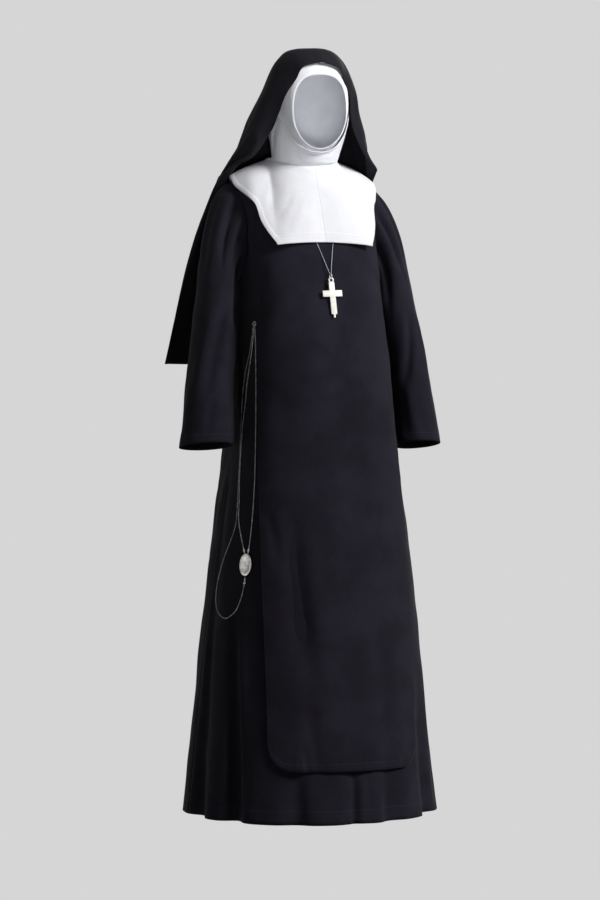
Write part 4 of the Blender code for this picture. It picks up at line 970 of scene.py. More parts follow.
def coif_cloth():
    turn, w = grid(np.linspace(-180.0, 180.0, density(160) + 1), np.linspace(0.0, COIF_END, density(84) + 1))
    points = coif_point(turn, w)
    a = np.radians(turn) * 0.07
    b = w * 0.2
    round_a = 0.07 * np.sin(np.radians(turn))
    round_b = 0.07 * np.cos(np.radians(turn))
    lift = rumple(round_a, round_b + b, 0.06, 0.0009, 6.1) * smooth(w / 0.06)
    band = 0.0006 * (1.0 - smooth((w - 0.055) / 0.012)) * smooth(w / 0.01)
    temple = np.exp(-(((np.abs(turn) - 120.0) / 34.0) ** 2)) * np.exp(-(((w - 0.16) / 0.08) ** 2))
    ripples = 0.0007 * temple * np.sin(a / 0.0042 + 3.0 * w)
    points = points + normals_of(points, wrap=True) * (lift + band + ripples)[..., None]
    return cloth_piece("coif_cloth", points, COIF_WALL, wrap=True, tube_edges=True)


def veil_cloth():
    across, v = grid(np.linspace(-1.0, 1.0, density(180) + 1), np.linspace(0.0, 1.0, density(130) + 1) ** 1.05)
    points = veil_point(across, v)
    a = across * VEIL_BREADTH
    b = v * VEIL_LENGTH
    lift = creases(VEIL_CREASES, a, b) * smooth((1.0 - np.abs(across)) / 0.1)
    lift += rumple(a, b, 0.09, 0.0016, 7.7) * smooth(v / 0.12) * smooth((1.0 - np.abs(across)) / 0.08)
    points = points + normals_of(points) * lift[..., None]
    return cloth_piece("veil_cloth", points, VEIL_WALL)


def sleeve_cloth(name, side, table, crease_table):
    q, v = grid(np.linspace(0.0, 1.0, density(108) + 1), np.linspace(0.0, 1.0, density(110) + 1))
    p = sleeve_point(table, np.where(q >= 1.0, 0.0, q), v)
    signed = np.where(q > 0.5, q - 1.0, q)
    a = signed * 2.0 * np.pi * SLEEVE_ROUND
    b = p[..., 2]
    lift = np.zeros(a.shape)
    for turn in (-1.0, 0.0, 1.0):
        lift += creases(crease_table, a + turn * 2.0 * np.pi * SLEEVE_ROUND, b)
    lift += rumple(np.cos(2 * np.pi * q) * SLEEVE_ROUND, b, 0.08, 0.0012, 8.0 + side)
    lift = lift * smooth(v / 0.06)
    points = place(side * p[..., 0], p[..., 1], p[..., 2])
    if side < 0:
        points = points[:, ::-1]
        lift = lift[:, ::-1]
    along, depth = arc_lengths(points)
    lift = lift + pucker(along, depth[-1:, :] - depth, 0.017, along[0, -1] / 18, 0.0004, 1.5)
    points = points + normals_of(points, wrap=True) * lift[..., None]
    return cloth_piece(name, points, TUNIC_WALL, wrap=True)


def smooth_path(points, spacing):
    """Evenly spaced points on a smooth curve through the given ones."""
    dense = []
    for i in range(len(points) - 1):
        a, b = points[i], points[i + 1]
        before = points[i - 1] if i > 0 else a + (a - b)
        after = points[i + 2] if i + 2 < len(points) else b + (b - a)
        for n in range(24):
            dense.append(hermite(a, b, (b - before) / 2, (after - a) / 2, n / 24))
    dense.append(points[-1])
    dense = np.array(dense)
    lengths = np.concatenate([[0.0], np.cumsum(np.linalg.norm(np.diff(dense, axis=0), axis=1))])
    count = max(2, round(lengths[-1] / spacing))
    wanted = np.linspace(0.0, lengths[-1], count + 1)
    return np.stack([np.interp(wanted, lengths, dense[:, k]) for k in range(3)], axis=-1), lengths[-1]


def on_skirt(angle, z, out):
    """Points off the plain skirt, by angle from the front and height."""
    across = np.asarray(angle, float) / 90.0
    down = down_at(np.asarray(z, float))
    return on_body(across, down, 1, np.asarray(out) + 0.0 * across)


def chest_frame():
    """The plane in which the cross hangs: its origin is the swing axis, with axes left, down and outward."""
    centre = np.zeros(1)
    down = down_at(centre + SWING_Z)
    base = on_body(centre, down, 1, SCAPULAR_OUT)[0]
    above = on_body(centre, down - 0.02, 1, SCAPULAR_OUT)[0]
    below = on_body(centre, down + 0.20, 1, SCAPULAR_OUT)[0]
    fall = Vector((0.0, below[1] - above[1], below[2] - above[2])).normalized()
    left = Vector((1.0, 0.0, 0.0))
    out = fall.cross(left).normalized()
    return Vector(base) + out * PENDANT_OUT, left, fall, out


def chest_point(x, z, off):
    """A point off the scapular's face in front of the chest."""
    share = np.zeros(1)
    for _ in range(12):
        down = t_at(np.abs(share), z, 1)
        reached = yoke_point(np.abs(share), down, 1)[..., 0] * np.where(share >= 0, 1.0, -1.0)
        share = share + (x - reached) / 0.16
    return on_body(share, t_at(np.abs(share), z, 1), 1, SCAPULAR_OUT + off)[0]


def linked(name, mesh):
    obj = bpy.data.objects.new(name, mesh)
    bpy.context.scene.collection.objects.link(obj)
    return obj


def mesh_from(bm, name, doubles=1e-6):
    bmesh.ops.remove_doubles(bm, verts=bm.verts, dist=doubles)
    bmesh.ops.recalc_face_normals(bm, faces=bm.faces)
    mesh = bpy.data.meshes.new(name)
    bm.to_mesh(mesh)
    bm.free()
    mesh.shade_smooth()
    return mesh


# Shader helpers
def new_group(name, inputs, outputs):
    """A shader node group. Inputs are (name, kind, default) and outputs (name, kind)."""
    group = bpy.data.node_groups.new(name, "ShaderNodeTree")
    for label, kind, value in inputs:
        socket = group.interface.new_socket(name=label, in_out="INPUT", socket_type=kind)
        if value is not None:
            socket.default_value = value
    for label, kind in outputs:
        group.interface.new_socket(name=label, in_out="OUTPUT", socket_type=kind)
    return group, group.nodes.new("NodeGroupInput"), group.nodes.new("NodeGroupOutput")


def fed(tree, socket, value):
    """Sets a socket to a number or a tuple, or links another socket to it."""
    if isinstance(value, (int, float, tuple)):
        socket.default_value = value
    else:
        tree.links.new(value, socket)


def maths(tree, operation, *values):
    node = tree.nodes.new("ShaderNodeMath")
    node.operation = operation
    for socket, value in zip(node.inputs, values):
        fed(tree, socket, value)
    return node.outputs[0]


def mixed(tree, factor, first, second, blend="MIX"):
    node = tree.nodes.new("ShaderNodeMix")
    node.data_type = "RGBA"
    node.blend_type = blend
    fed(tree, node.inputs["Factor"], factor)
    fed(tree, node.inputs[6], first)
    fed(tree, node.inputs[7], second)
    return node.outputs[2]


def noise(tree, vector, scale, detail=2.0, roughness=0.5):
    node = tree.nodes.new("ShaderNodeTexNoise")
    fed(tree, node.inputs["Vector"], vector)
    fed(tree, node.inputs["Scale"], scale)
    node.inputs["Detail"].default_value = detail
    node.inputs["Roughness"].default_value = roughness
    return node.outputs["Fac"]


def ramped(tree, value, low, high):
    """0 below low, 1 above high, smooth between."""
    node = tree.nodes.new("ShaderNodeMapRange")
    node.interpolation_type = "SMOOTHSTEP"
    fed(tree, node.inputs["Value"], value)
    fed(tree, node.inputs["From Min"], low)
    fed(tree, node.inputs["From Max"], high)
    return node.outputs["Result"]


def weave_group():
    """Plain weave: rows of threads over and under each other. Height is 0 to 1."""
    group, enter, leave = new_group(
        "plain_weave",
        (("Vector", "NodeSocketVector", None), ("Thread", "NodeSocketFloat", 0.0006), ("Uneven", "NodeSocketFloat", 0.3)),
        (("Height", "NodeSocketFloat"), ("Tone", "NodeSocketFloat")))
    split = group.nodes.new("ShaderNodeSeparateXYZ")
    group.links.new(enter.outputs["Vector"], split.inputs[0])
    wobble = maths(group, "MULTIPLY", noise(group, enter.outputs["Vector"], 260.0), enter.outputs["Uneven"])
    u = maths(group, "ADD", maths(group, "DIVIDE", split.outputs["X"], enter.outputs["Thread"]), wobble)
    v = maths(group, "ADD", maths(group, "DIVIDE", split.outputs["Y"], enter.outputs["Thread"]), wobble)
    warp = maths(group, "ABSOLUTE", maths(group, "SINE", maths(group, "MULTIPLY", u, math.pi)))
    weft = maths(group, "ABSOLUTE", maths(group, "SINE", maths(group, "MULTIPLY", v, math.pi)))
    parity = maths(group, "ADD", maths(group, "FLOOR", u), maths(group, "FLOOR", v))
    over = maths(group, "PINGPONG", parity, 1.0)
    under = maths(group, "SUBTRACT", 1.0, over)
    height = maths(group, "ADD", maths(group, "MULTIPLY", warp, over), maths(group, "MULTIPLY", weft, under))
    group.links.new(height, leave.inputs["Height"])
    stretched = group.nodes.new("ShaderNodeMapping")
    stretched.inputs["Scale"].default_value = (240.0, 22.0, 1.0)
    group.links.new(enter.outputs["Vector"], stretched.inputs["Vector"])
    slub = noise(group, stretched.outputs["Vector"], 1.0, 3.0)
    group.links.new(slub, leave.inputs["Tone"])
    return group


def wear_group():
    """Uneven cloth: slow tone changes, soft handling marks and sparse lint."""
    group, enter, leave = new_group(
        "cloth_wear",
        (("Vector", "NodeSocketVector", None), ("Marks", "NodeSocketFloat", 14.0), ("Lint", "NodeSocketFloat", 0.0)),
        (("Tone", "NodeSocketFloat"), ("Lint", "NodeSocketFloat"), ("Height", "NodeSocketFloat")))
    slow = noise(group, enter.outputs["Vector"], enter.outputs["Marks"], 3.0, 0.55)
    group.links.new(ramped(group, slow, 0.32, 0.68), leave.inputs["Tone"])
    speck = group.nodes.new("ShaderNodeTexVoronoi")
    speck.feature = "F1"
    speck.inputs["Scale"].default_value = 150.0
    group.links.new(enter.outputs["Vector"], speck.inputs["Vector"])
    dot = maths(group, "SUBTRACT", 1.0, ramped(group, speck.outputs["Distance"], 0.05, 0.16))
    chosen = group.nodes.new("ShaderNodeSeparateColor")
    group.links.new(speck.outputs["Color"], chosen.inputs[0])
    rare = maths(group, "GREATER_THAN", chosen.outputs[0], 0.93)
    lint = maths(group, "MULTIPLY", maths(group, "MULTIPLY", dot, rare), enter.outputs["Lint"])
    group.links.new(lint, leave.inputs["Lint"])
    fine = noise(group, enter.outputs["Vector"], 90.0, 3.0, 0.6)
    group.links.new(fine, leave.inputs["Height"])
    return group


def hem_group():
    """A turned hem: raised band, stitched groove and the thread's dashes, from distances to the edges in metres.
    Height is in millimetres."""
    group, enter, leave = new_group(
        "turned_hem",
        (("Edge", "NodeSocketVector", None), ("Cloth", "NodeSocketVector", None),
         ("Side", "NodeSocketFloat", 0.010), ("Hem", "NodeSocketFloat", 0.020), ("Pitch", "NodeSocketFloat", 0.003)),
        (("Height", "NodeSocketFloat"), ("Thread", "NodeSocketFloat")))
    edge = group.nodes.new("ShaderNodeSeparateXYZ")
    group.links.new(enter.outputs["Edge"], edge.inputs[0])
    flat = group.nodes.new("ShaderNodeSeparateXYZ")
    group.links.new(enter.outputs["Cloth"], flat.inputs[0])
    height = None
    thread = None
    lines = (("X", "Side", "Y"), ("Y", "Hem", "X"))
    for axis, width, run in lines:
        past = maths(group, "SUBTRACT", edge.outputs[axis], enter.outputs[width])
        band = maths(group, "SUBTRACT", 1.0, ramped(group, past, -0.0004, 0.0010))
        near = maths(group, "SUBTRACT", 1.0, ramped(group, maths(group, "ABSOLUTE", past), 0.0002, 0.0012))
        beat = maths(group, "FRACT", maths(group, "DIVIDE", flat.outputs[run], enter.outputs["Pitch"]))
        dash = ramped(group, maths(group, "PINGPONG", maths(group, "MULTIPLY", beat, 2.0), 1.0), 0.15, 0.4)
        stitch = maths(group, "MULTIPLY", near, dash)
        raised = maths(group, "SUBTRACT", maths(group, "MULTIPLY", band, 0.5), maths(group, "MULTIPLY", near, 0.35))
        height = raised if height is None else maths(group, "MAXIMUM", height, raised)
        thread = stitch if thread is None else maths(group, "MAXIMUM", thread, stitch)
    group.links.new(height, leave.inputs["Height"])
    group.links.new(thread, leave.inputs["Thread"])
    return group


WEAVE = weave_group()
WEAR = wear_group()
HEM = hem_group()


def use_group(tree, group, **values):
    node = tree.nodes.new("ShaderNodeGroup")
    node.node_tree = group
    for label, value in values.items():
        fed(tree, node.inputs[label], value)
    return node


def new_material(name, roughness, metallic=0.0):
    material = bpy.data.materials.new(name)
    material.use_nodes = True
    shader = material.node_tree.nodes["Principled BSDF"]
    shader.inputs["Roughness"].default_value = roughness
    shader.inputs["Metallic"].default_value = metallic
    return material, material.node_tree, shader


def uv_of(tree, label):
    node = tree.nodes.new("ShaderNodeUVMap")
    node.uv_map = label
    return node.outputs["UV"]


def bumped(tree, shader, height, distance, strength=1.0):
    """Feeds the shader's normal from a height, whose value 1 is this distance."""
    node = tree.nodes.new("ShaderNodeBump")
    node.inputs["Strength"].default_value = strength
    node.inputs["Distance"].default_value = distance
    tree.links.new(height, node.inputs["Height"])
    tree.links.new(node.outputs["Normal"], shader.inputs["Normal"])


def cloth_material(name, dark, light, thread, weave_depth, side, hem, sheen, lint, seam=False, roughness=0.85):
    """Woven cloth with slow tone changes, a turned hem and lint. Depths are in millimetres."""
    material, tree, shader = new_material(name, roughness)
    cloth = uv_of(tree, "cloth")
    where = tree.nodes.new("ShaderNodeTexCoord").outputs["Object"]
    weave = use_group(tree, WEAVE, Vector=cloth, Thread=thread)
    wear = use_group(tree, WEAR, Vector=where, Lint=lint)
    turned = use_group(tree, HEM, Edge=uv_of(tree, "edge"), Cloth=cloth, Side=side, Hem=hem)
    tone = maths(tree, "ADD", maths(tree, "MULTIPLY", wear.outputs["Tone"], 0.65),
                 maths(tree, "MULTIPLY", weave.outputs["Tone"], 0.35))
    colour = mixed(tree, tone, dark, light)
    threads = maths(tree, "MULTIPLY", turned.outputs["Thread"], 0.45)
    colour = mixed(tree, threads, colour, tuple(min(1.0, c * 1.6) for c in light[:3]) + (1.0,))
    colour = mixed(tree, wear.outputs["Lint"], colour, (0.55, 0.56, 0.60, 1.0))
    height = maths(tree, "ADD", maths(tree, "MULTIPLY", weave.outputs["Height"], weave_depth),
                   maths(tree, "MULTIPLY", wear.outputs["Height"], 0.5))
    height = maths(tree, "ADD", height, turned.outputs["Height"])
    if seam:
        split = tree.nodes.new("ShaderNodeSeparateXYZ")
        tree.links.new(cloth, split.inputs[0])
        off = maths(tree, "ABSOLUTE", split.outputs["X"])
        groove = maths(tree, "SUBTRACT", 1.0, ramped(tree, off, 0.0003, 0.0016))
        height = maths(tree, "SUBTRACT", height, maths(tree, "MULTIPLY", groove, 0.45))
        # The groove also darkens the colour a little: painted shade along the seam
        colour = mixed(tree, maths(tree, "MULTIPLY", groove, 0.08), colour, tuple(c * 0.6 for c in dark[:3]) + (1.0,))
    tree.links.new(colour, shader.inputs["Base Color"])
    bumped(tree, shader, height, 0.001)
    shader.inputs["Sheen Weight"].default_value = sheen
    shader.inputs["Sheen Roughness"].default_value = 0.45
    shader.inputs["Specular IOR Level"].default_value = 0.12
    return material


def metal_material(name, dark, light, roughness, metallic=0.9):
    """Worn silver-toned metal: uneven tarnish in patches and a fine scuffed grain."""
    material, tree, shader = new_material(name, roughness, metallic)
    where = tree.nodes.new("ShaderNodeTexCoord").outputs["Object"]
    grain = noise(tree, where, 900.0, 3.0)
    tarnish = ramped(tree, noise(tree, where, 160.0, 2.0), 0.35, 0.7)
    tree.links.new(mixed(tree, tarnish, dark, light), shader.inputs["Base Color"])
    rough = maths(tree, "ADD", maths(tree, "MULTIPLY", grain, 0.25), roughness - 0.1)
    tree.links.new(rough, shader.inputs["Roughness"])
    bumped(tree, shader, grain, 0.0002, 0.6)
    return material


def ivory_material():
    material, tree, shader = new_material("ivory_cross", 0.38)
    where = tree.nodes.new("ShaderNodeTexCoord").outputs["Object"]
    cloud = ramped(tree, noise(tree, where, 120.0, 3.0), 0.3, 0.75)
    tree.links.new(mixed(tree, cloud, (0.80, 0.77, 0.69, 1.0), (0.93, 0.91, 0.86, 1.0)), shader.inputs["Base Color"])
    bumped(tree, shader, noise(tree, where, 700.0, 2.0), 0.0003, 0.5)
    shader.inputs["Coat Weight"].default_value = 0.15
    return material


def cord_material():
    material, tree, shader = new_material("blue_cord", 0.6)
    where = tree.nodes.new("ShaderNodeTexCoord").outputs["Object"]
    wave = tree.nodes.new("ShaderNodeTexWave")
    wave.bands_direction = "DIAGONAL"
    wave.inputs["Scale"].default_value = 420.0
    tree.links.new(where, wave.inputs["Vector"])
    twist = wave.outputs["Fac"]
    tree.links.new(mixed(tree, twist, (0.27, 0.36, 0.44, 1.0), (0.56, 0.65, 0.73, 1.0)), shader.inputs["Base Color"])
    bumped(tree, shader, twist, 0.0003, 0.8)
    shader.inputs["Sheen Weight"].default_value = 0.2
    return material


BLACK_DARK = (0.0098, 0.0086, 0.0142, 1.0)
BLACK_LIGHT = (0.0172, 0.0150, 0.0242, 1.0)
WHITE_DARK = (0.72, 0.72, 0.755, 1.0)
WHITE_LIGHT = (0.78, 0.78, 0.81, 1.0)
black_tunic = cloth_material("black_tunic_cloth", BLACK_DARK, BLACK_LIGHT, 0.0006, 0.10, 0.0, 0.028, 0.03, 0.03, roughness=0.92)
black_scapular = cloth_material("black_scapular_cloth", BLACK_DARK, BLACK_LIGHT, 0.0006, 0.10, 0.010, 0.016, 0.03, 0.03, roughness=0.92)
black_sleeve = cloth_material("black_sleeve_cloth", BLACK_DARK, BLACK_LIGHT, 0.0006, 0.10, -0.01, 0.017, 0.03, 0.03, roughness=0.92)
black_veil = cloth_material("black_veil_cloth", (0.009, 0.0085, 0.012, 1.0), (0.016, 0.0155, 0.021, 1.0),
                            0.0005, 0.08, 0.008, 0.018, 0.03, 0.03, roughness=0.92)
white_bib = cloth_material("white_bib_cloth", WHITE_DARK, WHITE_LIGHT, 0.0005, 0.05, 0.0095, 0.0225, 0.05, 0.0, True, 0.8)
white_coif = cloth_material("white_coif_cloth", (0.80, 0.81, 0.86, 1.0), (0.90, 0.91, 0.94, 1.0),
                            0.0004, 0.05, -0.01, 0.007, 0.05, 0.0, False, 0.75)
silver = metal_material("aged_silver", (0.46, 0.45, 0.43, 1.0), (0.86, 0.84, 0.80, 1.0), 0.42, 0.45)
bead_bright = metal_material("bead_strand_bright", (0.36, 0.33, 0.31, 1.0), (0.80, 0.76, 0.71, 1.0), 0.42, 0.6)
# Strand A has the same beads as strands B and C, with a darker colour: painted shade on that strand
bead_painted_shade = metal_material("bead_strand_painted_shade", (0.12, 0.115, 0.105, 1.0), (0.38, 0.37, 0.34, 1.0), 0.45)
ivory = ivory_material()
blue = cord_material()


def make_camera():
    data = bpy.data.cameras.new("camera")
    data.lens = CAMERA_LENS
    data.sensor_width = 36.0
    data.clip_end = 60.0
    camera = bpy.data.objects.new("camera", data)
    bpy.context.scene.collection.objects.link(camera)
    camera.location = CAMERA_PLACE
    camera.rotation_euler = (Vector(CAMERA_AIM) - Vector(CAMERA_PLACE)).to_track_quat("-Z", "Y").to_euler()
    bpy.context.scene.camera = camera


def make_neck_cord():
    points = np.array([chest_point(x, z, off) for x, z, off in CORD_ROUTE])
    path, length = smooth_path(points, CORD_DIAMETER * 1.5)
    curve = bpy.data.curves.new("neck_cord_twist", "CURVE")
    curve.dimensions = "3D"
    curve.bevel_depth = CORD_DIAMETER / 2
    curve.bevel_resolution = 3
    curve.use_fill_caps = True
    spline = curve.splines.new("POLY")
    spline.points.add(len(path) - 1)
    for spline_point, point in zip(spline.points, path):
        spline_point.co = (*point, 1.0)
    cord = linked("neck_cord_twist", curve)
    curve.materials.append(blue)
    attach(cord, "habit")
    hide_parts("neck_cord")
    return cord, path, length


def make_ring(name, centre, normal, radius, wire, cad_node, body):
    bm = bmesh.new()
    side = normal.orthogonal().normalized()
    section = bmesh.ops.create_circle(bm, segments=12, radius=wire)["verts"]
    turn = Matrix((side, normal.normalized(), side.cross(normal).normalized())).transposed()
    bmesh.ops.transform(bm, verts=section, matrix=Matrix.Translation(centre + side * radius) @ turn.to_4x4())
    bmesh.ops.spin(bm, geom=bm.verts[:] + bm.edges[:], cent=centre, axis=normal, angle=2 * math.pi,
                   steps=40, use_merge=True)
    ring = linked(name, mesh_from(bm, name))
    return finish_piece(ring, silver, body, (cad_node,))


def bead_strand(name, route, cad_node, finish):
    """Small round beads on a thin wire, all on one line."""
    points = on_skirt([angle for angle, _ in route], [z for _, z in route], CHAIN_OFF)
    pitch = CHAIN_DIAMETER * 1.45
    path, length = smooth_path(points, pitch)
    bm = bmesh.new()
    for n, point in enumerate(path[:-1] + np.diff(path, axis=0) / 2):
        along = Vector(path[n + 1] - path[n]).normalized()
        size = CHAIN_DIAMETER / 2 * (1.0 + 0.08 * math.sin(n * 2.3))
        matrix = Matrix.Translation(point) @ along.to_track_quat("Z", "Y").to_matrix().to_4x4()
        bmesh.ops.create_uvsphere(bm, u_segments=8, v_segments=5, radius=size,
                                  matrix=matrix @ Matrix.Diagonal((1.0, 1.0, 0.92, 1.0)))
    mesh = bpy.data.meshes.new(name)
    bm.to_mesh(mesh)
    bm.free()
    mesh.shade_smooth()
    strand = linked(name, mesh)
    wire_data = bpy.data.curves.new(name + "_wire", "CURVE")
    wire_data.dimensions = "3D"
    wire_data.bevel_depth = 0.0004
    wire_data.bevel_resolution = 1
    wire_data.use_fill_caps = True
    spline = wire_data.splines.new("POLY")
    spline.points.add(len(path) - 1)
    for spline_point, point in zip(spline.points, path):
        spline_point.co = (*point, 1.0)
    wire = linked(name + "_wire", wire_data)
    wire_data.materials.append(silver)
    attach(wire, "habit")
    finish_piece(strand, finish, "habit", (cad_node,))
    return strand, wire, path, length


def strand_caps(ends):
    """Polished capsules on the strands: centre, direction, radius and half length of each."""
    bm = bmesh.new()
    for centre, along, radius, half in ends:
        turn = Vector(along).to_track_quat("Z", "Y").to_matrix().to_4x4()
        matrix = Matrix.Translation(centre) @ turn @ Matrix.Diagonal((radius, radius, half, 1.0))
        bmesh.ops.create_uvsphere(bm, u_segments=16, v_segments=10, radius=1.0, matrix=matrix)
    return finish_piece(linked("strand_caps", mesh_from(bm, "strand_caps")), silver, "habit")


medal_silver = metal_material("medal_silver", (0.62, 0.61, 0.58, 1.0), (0.92, 0.90, 0.86, 1.0), 0.42, 0.85)


def make_medal():
    """An oval medal with a raised rim, a ring of dots and a plain flower of petals."""
    centre = Vector(on_skirt([MEDAL_ANGLE], [MEDAL_Z], MEDAL_OFF)[0])
    below = Vector(on_skirt([MEDAL_ANGLE], [MEDAL_Z - 0.02], MEDAL_OFF)[0])
    base = Vector(on_skirt([MEDAL_ANGLE], [MEDAL_Z], 0.0)[0])
    out = (centre - base).normalized()
    fall = (below - centre).normalized()
    across = out.cross(fall).normalized()
    bm = bmesh.new()
    disc = bmesh.ops.create_cone(bm, cap_ends=True, segments=64, radius1=1.0, radius2=1.0, depth=MEDAL_THICK)
    face = max((f for f in bm.faces if len(f.verts) == 64), key=lambda f: f.calc_center_median().z)
    steps = ((0.05, 0.0), (0.03, 0.00035), (0.06, 0.00035), (0.04, -0.0005))
    for inset, lift in steps:
        bmesh.ops.inset_individual(bm, faces=[face], thickness=inset, depth=0.0)
        for vertex in face.verts:
            vertex.co.z += lift
    for vertex in bm.verts:
        vertex.co.x *= MEDAL_HALF_WIDTH
        vertex.co.y *= MEDAL_HALF_HEIGHT
    top = MEDAL_THICK / 2 + 0.0002
    for n in range(28):
        turn = 2.0 * math.pi * n / 28
        spot = Vector((0.70 * MEDAL_HALF_WIDTH * math.sin(turn), 0.74 * MEDAL_HALF_HEIGHT * math.cos(turn), top - 0.0002))
        bmesh.ops.create_icosphere(bm, subdivisions=1, radius=0.00055, matrix=Matrix.Translation(spot))
    for n in range(6):
        turn = 2.0 * math.pi * n / 6
        spin = Matrix.Rotation(turn, 4, "Z")
        petal = spin @ Matrix.Translation((0.0, 0.0050, top - 0.0003)) @ Matrix.Diagonal((0.0020, 0.0042, 0.0007, 1.0))
        bmesh.ops.create_uvsphere(bm, u_segments=12, v_segments=6, radius=1.0, matrix=petal)
    bmesh.ops.create_uvsphere(bm, u_segments=12, v_segments=6, radius=1.0,
                              matrix=Matrix.Translation((0.0, 0.0, top)) @ Matrix.Diagonal((0.0017, 0.0017, 0.0008, 1.0)))
    turn = Matrix((across, fall, out)).transposed().to_4x4()
    bmesh.ops.transform(bm, verts=bm.verts, matrix=Matrix.Translation(centre) @ turn)
    mesh = mesh_from(bm, "medal", 1e-7)
    mesh.set_sharp_from_angle(angle=math.radians(50))
    medal = linked("medal", mesh)
    finish_piece(medal, medal_silver, "habit", ("rosary_medal",))
    return medal


def cross_outline(inset):
    """The cross seen from the front, as points left and down from the swing axis, drawn in by an inset."""
    top = CROSS_TOP_DROP
    bottom = CROSS_TOP_DROP + CROSS_LENGTH
    arm = CROSS_MEMBER / 2 - inset
    reach = CROSS_BAR / 2 - inset
    bar = CROSS_BAR_HEIGHT / 2 - inset
    join = EYELET_JOIN / 2
    outline = []
    for turn in range(-130, 131, 10):
        a = math.radians(turn)
        outline.append(((EYELET_RADIUS - inset) * math.sin(a), HANG_DROP - (EYELET_RADIUS - inset) * math.cos(a)))
    high = CROSS_BAR_DROP - bar
    low = CROSS_BAR_DROP + bar
    outline += [(join, top), (arm, top), (arm, high), (reach, high), (reach, low), (arm, low), (arm, bottom),
                (FINIAL_NECK - inset, bottom)]
    for turn in range(-90, 91, 15):
        a = math.radians(turn)
        outline.append(((FINIAL_RADIUS - inset) * math.sin(-a),
                        bottom + FINIAL_DROP + (FINIAL_RADIUS - inset) * math.cos(a)))
    outline += [(inset - FINIAL_NECK, bottom), (-arm, bottom), (-arm, low), (-reach, low), (-reach, high), (-arm, high),
                (-arm, top), (-join, top)]
    return outline


def make_cross():
    """The ivory cross with rounded edges, on the plane in front of the chest."""
    origin, left, fall, out = chest_frame()
    edge = 0.0009
    curve = bpy.data.curves.new("cross_shape", "CURVE")
    curve.dimensions = "2D"
    curve.fill_mode = "BOTH"
    curve.extrude = CROSS_THICK / 2 - edge
    curve.bevel_depth = edge
    curve.bevel_resolution = 3
    hole = []
    for i in range(24):
        a = 2.0 * math.pi * i / 24
        hole.append(((EYELET_HOLE + edge) * math.cos(a), HANG_DROP + (EYELET_HOLE + edge) * math.sin(a)))
    for ring in (cross_outline(edge), hole):
        spline = curve.splines.new("POLY")
        spline.points.add(len(ring) - 1)
        for spline_point, (x, y) in zip(spline.points, ring):
            spline_point.co = (x, -y, 0.0, 1.0)
        spline.use_cyclic_u = True
    flat = linked("cross_flat", curve)
    bpy.context.view_layer.update()
    mesh = bpy.data.meshes.new_from_object(flat.evaluated_get(bpy.context.evaluated_depsgraph_get()))
    bpy.data.objects.remove(flat)
    lean = math.radians(CROSS_LEAN)
    across = left * math.cos(lean) - fall * math.sin(lean)
    along = -(fall * math.cos(lean) + left * math.sin(lean))
    turn = Matrix((across, along, out)).transposed().to_4x4()
    bm = bmesh.new()
    bm.from_mesh(mesh)
    bmesh.ops.transform(bm, verts=bm.verts, matrix=Matrix.Translation(origin) @ turn)
    shaped = mesh_from(bm, "ivory_cross", 1e-6)
    shaped.set_sharp_from_angle(angle=math.radians(40))
    cross = linked("ivory_cross", shaped)
    return finish_piece(cross, ivory, "pendant", ("cross",))


def make_stage():
    """A pale floor that sweeps up into a backdrop."""
    bm = bmesh.new()
    first = bm.verts.new((-9.0, -9.0, FLOOR_Z))
    profile = [first]
    radius = 2.0
    back = 5.5
    for n in range(13):
        turn = math.pi / 2 * n / 12
        profile.append(bm.verts.new((-9.0, back - radius + radius * math.sin(turn),
                                     FLOOR_Z + radius - radius * math.cos(turn))))
    profile.append(bm.verts.new((-9.0, back, 6.0)))
    edges = [bm.edges.new(pair) for pair in zip(profile, profile[1:])]
    made = bmesh.ops.extrude_edge_only(bm, edges=edges)
    moved = [item for item in made["geom"] if isinstance(item, bmesh.types.BMVert)]
    bmesh.ops.translate(bm, verts=moved, vec=(18.0, 0.0, 0.0))
    bmesh.ops.rotate(bm, verts=bm.verts, cent=(0.0, 0.0, 0.0), matrix=Matrix.Rotation(math.radians(-20.0), 3, "Z"))
    backdrop = linked("backdrop", mesh_from(bm, "backdrop"))
    material, tree, shader = new_material("pale_backdrop", 0.9)
    shader.inputs["Base Color"].default_value = (0.0, 0.0, 0.0, 1.0)
    shader.inputs["Emission Color"].default_value = (1.0, 1.0, 1.0, 1.0)
    shader.inputs["Emission Strength"].default_value = 0.672
    shader.inputs["Specular IOR Level"].default_value = 0.0
    backdrop.data.materials.append(material)
    backdrop.visible_diffuse = False


def area_light(name, place_at, aim, size, power):
    data = bpy.data.lights.new(name, "AREA")
    data.shape = "DISK"
    data.size = size
    data.energy = power
    light = bpy.data.objects.new(name, data)
    bpy.context.scene.collection.objects.link(light)
    light.location = place_at
    light.rotation_euler = (Vector(aim) - Vector(place_at)).to_track_quat("-Z", "Y").to_euler()
    return light


